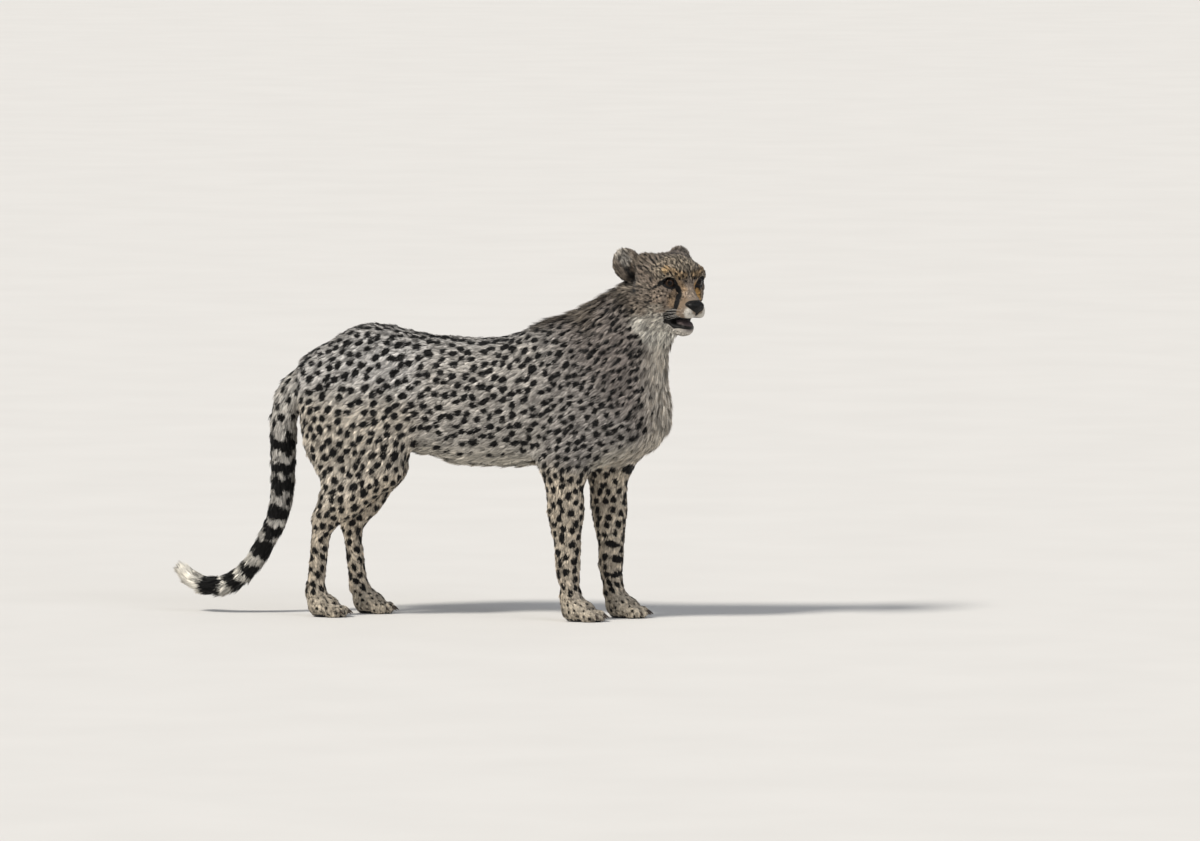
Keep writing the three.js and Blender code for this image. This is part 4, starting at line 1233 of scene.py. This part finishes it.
def tufts(name, skin, faces, uv, apart, density, rng):
    """One piece of the coat, as thin pointed tufts that lie along the skin and gather into locks."""
    keep = skin["bare"][faces].min(axis=1) < 0.5
    faces, uv = faces[keep], uv[keep]
    face, weight = roots(skin["points"], faces, skin["dense"][faces].mean(axis=1) * density, rng)
    on_head, on_tail = name.startswith("coat_head"), name.startswith("coat_tail")

    def at(key):
        """One of the skin's values at each root."""
        return np.einsum("ij,ij...->i...", weight, skin[key][faces[face]])

    bare = face_bare_and_mouth_shade(to_head(at("points"))) if on_head else at("bare")
    face, weight = face[bare < 0], weight[bare < 0]
    n_tufts = len(face)
    place, normal, lie, full = at("points"), unit(at("normals")), unit(at("lie")), at("length")
    locks = Locks(place, apart, rng)
    if on_head:
        over = face_bare_and_mouth_shade(to_head(place + lie * full[:, None]))
        full = full * mix(1.0, 0.4, step(-1.0, 2.0, over))
    root, middle, tip, ahead, flat, half = tuft_shapes(
        place, normal, lie, full, at("width"), at("lift"), locks, rng)
    points = np.stack([root, middle + flat * half, middle - flat * half, tip], axis=1).reshape(-1, 3)
    points[:, 2] = np.maximum(points[:, 2], CLEAR_OF_FLOOR)
    triangles = (np.arange(n_tufts)[:, None] * 4 + np.array([0, 2, 1, 2, 3, 1])).reshape(-1, 3)
    made = mesh_object(name, points, triangles)
    mesh = made.data
    tint = at("tint") * tuft_shades(place, on_head, locks, rng)
    blur = rng.normal(0, 1.0, n_tufts) + locks.normal(rng, 0.7)
    head, tail = np.full(n_tufts, on_head), np.full(n_tufts, on_tail)
    near, half_way, far = (
        markings(spot, normal, skin["spots"], head, tail) for spot in (place, middle, mix(middle, tip, 0.8)))
    mark = np.stack([near, half_way, half_way, far], axis=1) + blur[:, None]
    write_attribute(mesh, "tint", np.repeat(tint, 4, axis=0), "FLOAT_COLOR")
    write_attribute(mesh, "mark", mark.ravel())
    write_attribute(mesh, "along", np.tile([0, 0.5, 0.5, 1.0], n_tufts))
    patch = np.einsum("ij,ijk->ik", weight, uv[face])[:, None, :] + TUFT_CORNERS * PATCH
    corners = patch.reshape(-1, 2)[triangles.ravel()]
    layer = mesh.uv_layers.new(name="OFBake")
    layer.data.foreach_set("uv", corners.astype(np.float32).ravel())
    aside = np.clip(dot(place - locks.mean(place), flat) / (apart * 0.5), -1, 1)[:, None]
    bend = unit(normal + ahead * 0.15 + flat * (aside * 0.5 + rng.normal(0, 0.12, n_tufts)[:, None]))
    mesh.normals_split_custom_set_from_vertices(np.repeat(bend, 4, axis=0).astype(np.float32))
    return made


def skin_arrays():
    """The finished skin's arrays: points in millimetres, normals, attributes, faces, parts and unwrap."""
    mesh = bpy.data.objects["skin"].data
    co = np.zeros(len(mesh.vertices) * 3, np.float32)
    mesh.vertices.foreach_get("co", co)
    faces = np.zeros(len(mesh.polygons) * 3, np.int32)
    mesh.polygons.foreach_get("vertices", faces)
    uv = np.zeros(len(mesh.loops) * 2, np.float32)
    mesh.uv_layers["OFBake"].data.foreach_get("uv", uv)
    data = {"points": co.reshape(-1, 3).astype(float) / MM}
    faces = faces.reshape(-1, 3)
    data["normals"] = Surface(data["points"], faces).normals()
    for name in ("length", "width", "lift", "dense", "bare", "part"):
        data[name] = read_attribute(mesh, name)
    data["lie"] = read_attribute(mesh, "lie", 3)
    data["tint"] = read_attribute(mesh, "tint", 4)[:, :3]
    data["spots"] = np.array(bpy.data.objects["skin"]["spots"]).reshape(-1, SPOT_NUMBERS)
    return data, faces, uv.reshape(-1, 3, 2).astype(float)


class CHEETAH_OT_coat(bpy.types.Operator):
    """Grows the coat as thin locks over the skin, in several pieces"""
    bl_idname = "cheetah.coat"
    bl_label = "Coat"

    def execute(self, context):
        props = context.scene.cheetah_coat
        rng = np.random.default_rng(props.seed + 1)
        skin, faces, uv = skin_arrays()
        parts = list(bpy.data.objects["skin"]["parts"])
        part = skin["part"].astype(int)[faces[:, 0]]
        finish = coat_material(props, "Guard hair, short and dry", True)
        for name, (apart, *nodes) in COAT_PARTS.items():
            mine = np.flatnonzero(np.isin(part, [parts.index(n) for n in nodes if n in parts]))
            middle = skin["points"][faces[mine]].mean(axis=1)
            wanted = areas(skin["points"], faces[mine]) * skin["dense"][faces[mine]].mean(axis=1)
            pieces = max(1, math.ceil(wanted.sum() * props.density / PIECE_TUFTS))
            order = np.argsort(middle[:, 0] + middle[:, 1] * 0.01, kind="stable")
            cumulative = np.cumsum(wanted[order])
            share = np.minimum((cumulative / cumulative[-1] * pieces).astype(int), pieces - 1)
            for k in range(pieces):
                chosen = mine[order[share == k]]
                made = tufts(f"{name}_{k + 1}", skin, faces[chosen], uv[chosen], apart, props.density, rng)
                made.data.materials.append(finish)
                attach(made, BODY)
        return {"FINISHED"}


# ---- eyes, nose, claws and whiskers -----------------------------------------------------------------------

EYE_RINGS, EYE_SPOKES = 40, 48
GAZE_UP = 0.03
CORNEA_EDGE = math.radians(36)
CORNEA_RISE = 1.1
IRIS_FIBRE = 1.11  # millimetres across
IRIS_SPAN = 60.0  # degrees from the gaze to where the bands end
# from the gaze outward, as shares of that span: pupil, iris, its dark rim and the rest of the ball
IRIS_BANDS = (
    (0.0, "#030303"), (0.24, "#050404"), (0.28, "#1d130c"), (0.42, "#38271a"), (0.56, "#261a11"),
    (0.66, "#0f0907"), (0.8, "#1a120e"),
)


def eye_mesh(name, side):
    """An eyeball with a bulging cornea; the angle from its gaze is kept at each point."""
    turn = GAZE_OUT[side] * side
    ahead = unit(np.array([math.cos(turn), math.sin(turn), GAZE_UP]))
    across = unit(np.cross([0, 0, 1.0], ahead))
    up = np.cross(ahead, across)
    points, angles = [ahead * (EYE_RADIUS + CORNEA_RISE)], [0.0]
    for i in range(1, EYE_RINGS):
        a = math.pi * (i / EYE_RINGS) ** 1.35
        bulge = CORNEA_RISE * max(0.0, 1 - (a / CORNEA_EDGE) ** 2) ** 0.8
        for j in range(EYE_SPOKES):
            s = 2 * math.pi * j / EYE_SPOKES
            rim = across * math.cos(s) + up * math.sin(s)
            points.append((ahead * math.cos(a) + rim * math.sin(a)) * (EYE_RADIUS + bulge))
            angles.append(math.degrees(a))
    points.append(-ahead * EYE_RADIUS)
    angles.append(180.0)
    last = len(points) - 1
    faces = []
    for j in range(EYE_SPOKES):
        k = (j + 1) % EYE_SPOKES
        faces.append((0, 1 + j, 1 + k))
        for i in range(EYE_RINGS - 2):
            a, b = 1 + i * EYE_SPOKES + j, 1 + i * EYE_SPOKES + k
            faces += [(a, a + EYE_SPOKES, b + EYE_SPOKES), (a, b + EYE_SPOKES, b)]
        base = 1 + (EYE_RINGS - 2) * EYE_SPOKES
        faces.append((last, base + k, base + j))
    centre = EYE_AT * (1, side, 1)
    made = mesh_object(name, from_head(np.array(points) + centre), faces)
    write_attribute(made.data, "angle", np.array(angles) / IRIS_SPAN)
    return made


def eye_material():
    """A wet eye: dark amber iris under a clear cornea and a dark rim, so it holds one sharp glint."""
    made, tree, shader = material("Eye, wet cornea over amber iris", {
        "Roughness": 0.25, "IOR": 1.376, "Specular IOR Level": 0.1,
        "Coat Weight": 0.2, "Coat Roughness": 0.02,
    })
    angle = add(tree, "Attribute", {"attribute_name": "angle"}).outputs["Fac"]
    stops = tuple((place, linear(colour)) for place, colour in IRIS_BANDS)
    bands = add(tree, "ValToRGB", {"stops": stops}, {"Fac": angle})
    place = add(tree, "TexCoord").outputs["Object"]
    fibre = add(tree, "TexNoise", {"Scale": 1 / (IRIS_FIBRE * MM), "Detail": 2.0}, {"Vector": place})
    stops = ((0.3, (0.2, 0.2, 0.2, 1)), (0.7, (1, 1, 1, 1)))
    shade = add(tree, "ValToRGB", {"stops": stops}, {"Fac": fibre.outputs["Fac"]})
    colour = add(tree, "Mix", {"data_type": "RGBA", "blend_type": "MULTIPLY", 0: 0.35}, {
        A: bands.outputs["Color"], B: shade.outputs["Color"],
    })
    tree.links.new(colour.outputs[MIXED], shader.inputs["Base Color"])
    return made


class CHEETAH_OT_eyes(bpy.types.Operator):
    """Sets the two eyeballs behind their lids"""
    bl_idname = "cheetah.eyes"
    bl_label = "Eyes"

    def execute(self, context):
        finish = eye_material()
        for name, side in (("eye_left", LEFT), ("eye_right", RIGHT)):
            made = eye_mesh("ball_" + name, side)
            made.data.materials.append(finish)
            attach(made, BODY)
            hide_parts(name)
        return {"FINISHED"}


def ray_shape(field, centre, reach, rounds=6):
    """A closed form round `centre`, found by searching outward for the field's surface."""
    ball = bmesh.new()
    bmesh.ops.create_icosphere(ball, subdivisions=rounds, radius=1.0)
    ways = unit(np.array([v.co for v in ball.verts]))
    ball.verts.index_update()
    faces = np.array([[v.index for v in f.verts] for f in ball.faces])
    ball.free()
    steps = np.linspace(0.5, reach, 60)
    high = np.full(len(ways), float(reach))
    inside = np.ones(len(ways), bool)
    for s in steps:
        out = field(centre + ways * s) > 0
        high[inside & out] = s
        inside &= ~out
    low = high - steps[1] + steps[0]
    for _ in range(12):
        half = (low + high) / 2
        out = field(centre + ways * half[:, None]) > 0
        high = np.where(out, half, high)
        low = np.where(out, low, half)
    return centre + ways * ((low + high) / 2)[:, None], faces


PEBBLE = 1.11  # millimetres across, of the leather's skin


def nose_material():
    """Wet-looking black nose leather, finely pebbled, so it shines in small broken lights."""
    made, tree, shader = material("Nose leather, bare and pebbled", {
        "Roughness": 0.42, "IOR": 1.45, "Specular IOR Level": 0.3,
    })
    cloud = mottled(tree, shader, 6.25, "#080707", "#131110")
    place = add(tree, "TexCoord").outputs["Object"]
    pebble = add(tree, "TexVoronoi", {"Scale": 1 / (PEBBLE * MM)}, {"Vector": place}).outputs["Distance"]
    bump = add(tree, "Bump", {"Strength": 0.35, "Distance": 0.0005}, {"Height": pebble})
    rough = add(tree, "MapRange", {"To Min": 0.36, "To Max": 0.55}, {"Value": cloud})
    tree.links.new(rough.outputs[0], shader.inputs["Roughness"])
    tree.links.new(bump.outputs["Normal"], shader.inputs["Normal"])
    return made


class CHEETAH_OT_nose(bpy.types.Operator):
    """Makes the bare nose leather with its nostrils"""
    bl_idname = "cheetah.nose"
    bl_label = "Nose"

    def execute(self, context):
        points, faces = ray_shape(nose_field, NOSE_AT, 26)
        made = mesh_object("nose_leather", from_head(points), faces)
        made.data.materials.append(nose_material())
        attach(made, BODY)
        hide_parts("nose")
        return {"FINISHED"}


def tapered(line, radius, sides=6, squash=1.0):
    """Points and triangles of a closed taper along a line of points, with a radius at each."""
    line = np.asarray(line, float)
    way = unit(np.gradient(line, axis=0))
    up = np.array([0, 0, 1.0])
    points, faces = [], []
    for p, d, r in zip(line, way, radius):
        side = unit(np.cross(d, up) + 1e-6)
        top = np.cross(side, d)
        for k in range(sides):
            a = 2 * math.pi * k / sides
            points.append(p + r * (side * math.cos(a) * squash + top * math.sin(a)))
    for i in range(len(line) - 1):
        for k in range(sides):
            a, b = i * sides + k, i * sides + (k + 1) % sides
            faces += [(a, b, b + sides), (a, b + sides, a + sides)]
    for k in range(1, sides - 1):
        faces.append((0, k + 1, k))
        end = (len(line) - 1) * sides
        faces.append((end, end + k, end + k + 1))
    return np.array(points), np.array(faces)


def gathered_pieces(name, shapes):
    """One object from many (points, triangles)."""
    points, faces, done = [], [], 0
    for p, f in shapes:
        points.append(p)
        faces.append(f + done)
        done += len(p)
    return mesh_object(name, np.concatenate(points), np.concatenate(faces))


def horn_material():
    """Claw horn, dark and worn smooth, with paler streaks."""
    made, tree, shader = material("Claw horn, worn smooth", {"Roughness": 0.38, "IOR": 1.54})
    mottled(tree, shader, 3.85, "#1d1713", "#4a3d31", 3.0)
    return made


CLAW_ROOT_X, CLAW_ROOT_Z = 8, 14.5  # ahead of the toe's middle and above the floor
CLAW_LENGTH, CLAW_RADIUS, CLAW_TIP = 16, 3.4, 0.45
CLAW_NARROW = 0.62  # its width as a share of its height


class CHEETAH_OT_claws(bpy.types.Operator):
    """Sets four blunt claws on each paw"""
    bl_idname = "cheetah.claws"
    bl_label = "Claws"

    def execute(self, context):
        finish = horn_material()
        for name, (x, y, size) in PAWS.items():
            shapes = []
            for ahead, aside, turn in TOES:
                start = np.array([x + ahead * size + CLAW_ROOT_X, y + aside * size, CLAW_ROOT_Z]) + MIDDLE
                way = np.array([math.cos(math.radians(turn)), math.sin(math.radians(turn)), 0])
                t = np.linspace(0, 1, 9)[:, None]
                line = start + way * CLAW_LENGTH * t + np.array([0, 0, -1]) * (1.0 * t + 7.0 * t**2.2)
                radius = CLAW_RADIUS * (1 - t[:, 0]) ** 0.7 + CLAW_TIP
                shapes.append(tapered(line, radius, 10, CLAW_NARROW))
            made = gathered_pieces("claws_" + name, shapes)
            made.data.materials.append(finish)
            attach(made, BODY)
        return {"FINISHED"}


WHISKER_RADIUS = (0.24, 0.06)  # at the root and at the tip


def whisker_lines(rng):
    """Middle lines of the whiskers, in the head's frame, for both sides."""
    lines = []
    for side in (LEFT, RIGHT):
        for row in range(3):
            for k in range(3):
                root = np.array([73 - 8.0 * k - row, 20 + 2.8 * k, -50 - 5.5 * row])
                way = unit(np.array([-0.35 - 0.2 * k, 0.9, 0.05 - 0.1 * row]))
                size = rng.uniform(26, 38)
                t = np.linspace(0, 1, 7)[:, None]
                line = root + way * size * t + np.array([-12.0, -3.0, -5.0]) * t**2
                lines.append(line * (1, side, 1))
    return lines


class CHEETAH_OT_whiskers(bpy.types.Operator):
    """Adds the whiskers"""
    bl_idname = "cheetah.whiskers"
    bl_label = "Whiskers"

    def execute(self, context):
        rng = np.random.default_rng(context.scene.cheetah_coat.seed + 2)
        shapes = []
        for line in whisker_lines(rng):
            shapes.append(tapered(from_head(line), np.linspace(*WHISKER_RADIUS, len(line)), 4))
        made = gathered_pieces("whiskers", shapes)
        finish, tree, shader = material("Whisker, stiff white hair", {"Roughness": 0.35, "IOR": 1.55})
        mottled(tree, shader, 11.1, "#e9e5dd", "#d4cdc0")
        made.data.materials.append(finish)
        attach(made, BODY)
        return {"FINISHED"}


# ---- floor, light and camera ------------------------------------------------------------------------------

CAMERA_TURN, CAMERA_RISE = math.radians(12.0), math.radians(4.0)
CAMERA_AWAY = 26.0
VIEW_WIDTH = 2.4  # metres across the picture at the animal
VIEW_CENTRE = (0.260, 0.393)  # of the picture, across and up from the maker's origin, in metres
SENSOR = 36.0
FLOOR_HALF = 150.0  # metres
LIGHTS = (  # name, the way it shines, strength, spread in degrees and colour
    ("key", (0.5, 0.55, -0.85), 3.1, 11.0, "#fffaf2"),
    ("fill", (-0.75, 0.45, -0.5), 0.6, 40.0, "#eef3ff"),
)
SKY_COLOUR, SKY_STRENGTH = "#e9ecf2", 0.42


class CHEETAH_OT_stage(bpy.types.Operator):
    """Adds a plain pale floor, soft studio light and the camera"""
    bl_idname = "cheetah.stage"
    bl_label = "Stage"

    def execute(self, context):
        scene = context.scene
        cos_t, sin_t = math.cos(CAMERA_TURN), math.sin(CAMERA_TURN)
        cos_r, sin_r = math.cos(CAMERA_RISE), math.sin(CAMERA_RISE)
        right = Vector((cos_t, sin_t, 0))
        up = Vector((-sin_t * sin_r, cos_t * sin_r, cos_r))
        back = Vector((sin_t * cos_r, -cos_t * cos_r, sin_r))
        origin = Vector(MIDDLE * MM)
        target = origin + right * VIEW_CENTRE[0] + up * VIEW_CENTRE[1]
        lens = bpy.data.cameras.new("camera")
        lens.sensor_width = SENSOR
        lens.lens = SENSOR * CAMERA_AWAY / VIEW_WIDTH
        lens.clip_start, lens.clip_end = 0.5, 500.0
        camera = bpy.data.objects.new("camera", lens)
        camera.location = target + back * CAMERA_AWAY
        camera.rotation_mode = "QUATERNION"
        camera.rotation_quaternion = (-back).to_track_quat("-Z", "Y")
        scene.collection.objects.link(camera)
        scene.camera = camera

        corners = np.array([[-1, -1, 0], [1, -1, 0], [1, 1, 0], [-1, 1, 0]]) * FLOOR_HALF / MM
        floor = mesh_object("floor", corners, [(0, 1, 2), (0, 2, 3)])
        finish, tree, shader = material("Studio floor, matt paint", {
            "Roughness": 0.9, "Specular IOR Level": 0.1,
        })
        mottled(tree, shader, 333.0, "#dcdad6", "#dfddd9")
        floor.data.materials.append(finish)

        world = bpy.data.worlds.new("studio")
        world.use_nodes = True
        sky = world.node_tree.nodes["Background"]
        sky.inputs["Color"].default_value = linear(SKY_COLOUR)
        sky.inputs["Strength"].default_value = SKY_STRENGTH
        scene.world = world
        for name, aim, strength, spread, colour in LIGHTS:
            lamp = bpy.data.lights.new(name, "SUN")
            lamp.angle = math.radians(spread)
            lamp.energy = strength
            lamp.color = linear(colour)[:3]
            holder = bpy.data.objects.new(name, lamp)
            holder.location = (0, 0, 3)
            holder.rotation_mode = "QUATERNION"
            holder.rotation_quaternion = Vector(aim).to_track_quat("-Z", "Y")
            scene.collection.objects.link(holder)
        scene.view_settings.view_transform = "Standard"
        return {"FINISHED"}


# ---- the panel and its properties -------------------------------------------------------------------------

class CheetahCoatProperties(bpy.types.PropertyGroup):
    """What a user would change of the coat"""
    seed: bpy.props.IntProperty(name="Seed", description="Start of every random draw", default=11, min=0)
    density: bpy.props.FloatProperty(
        name="Density", description="Tufts of hair, as a share of the full coat",
        default=1.0, min=0.05, max=1.0, subtype="FACTOR")
    spot_colour: bpy.props.StringProperty(
        name="Spot colour", description="Colour of the black marks, as sRGB hex", default="#0a0909")


STEPS = (
    CHEETAH_OT_stage, CHEETAH_OT_skin, CHEETAH_OT_coat, CHEETAH_OT_eyes, CHEETAH_OT_nose,
    CHEETAH_OT_claws, CHEETAH_OT_whiskers,
)


class CHEETAH_PT_panel(bpy.types.Panel):
    """Lists the steps that make the cheetah"""
    bl_idname = "CHEETAH_PT_panel"
    bl_label = "Cheetah"
    bl_space_type = "VIEW_3D"
    bl_region_type = "UI"
    bl_category = "Cheetah"

    def draw(self, context):
        props = context.scene.cheetah_coat
        for name in ("seed", "density", "spot_colour"):
            self.layout.prop(props, name)
        for operator in STEPS:
            self.layout.operator(operator.bl_idname)


CLASSES = (CheetahCoatProperties, *STEPS, CHEETAH_PT_panel)


def register():
    for cls in CLASSES:
        bpy.utils.register_class(cls)
    bpy.types.Scene.cheetah_coat = bpy.props.PointerProperty(type=CheetahCoatProperties)


def unregister():
    del bpy.types.Scene.cheetah_coat
    for cls in reversed(CLASSES):
        bpy.utils.unregister_class(cls)


def main():
    register()
    for operator in STEPS:
        group, name = operator.bl_idname.split(".")
        getattr(getattr(bpy.ops, group), name)()


if __name__ == "__main__":
    main()
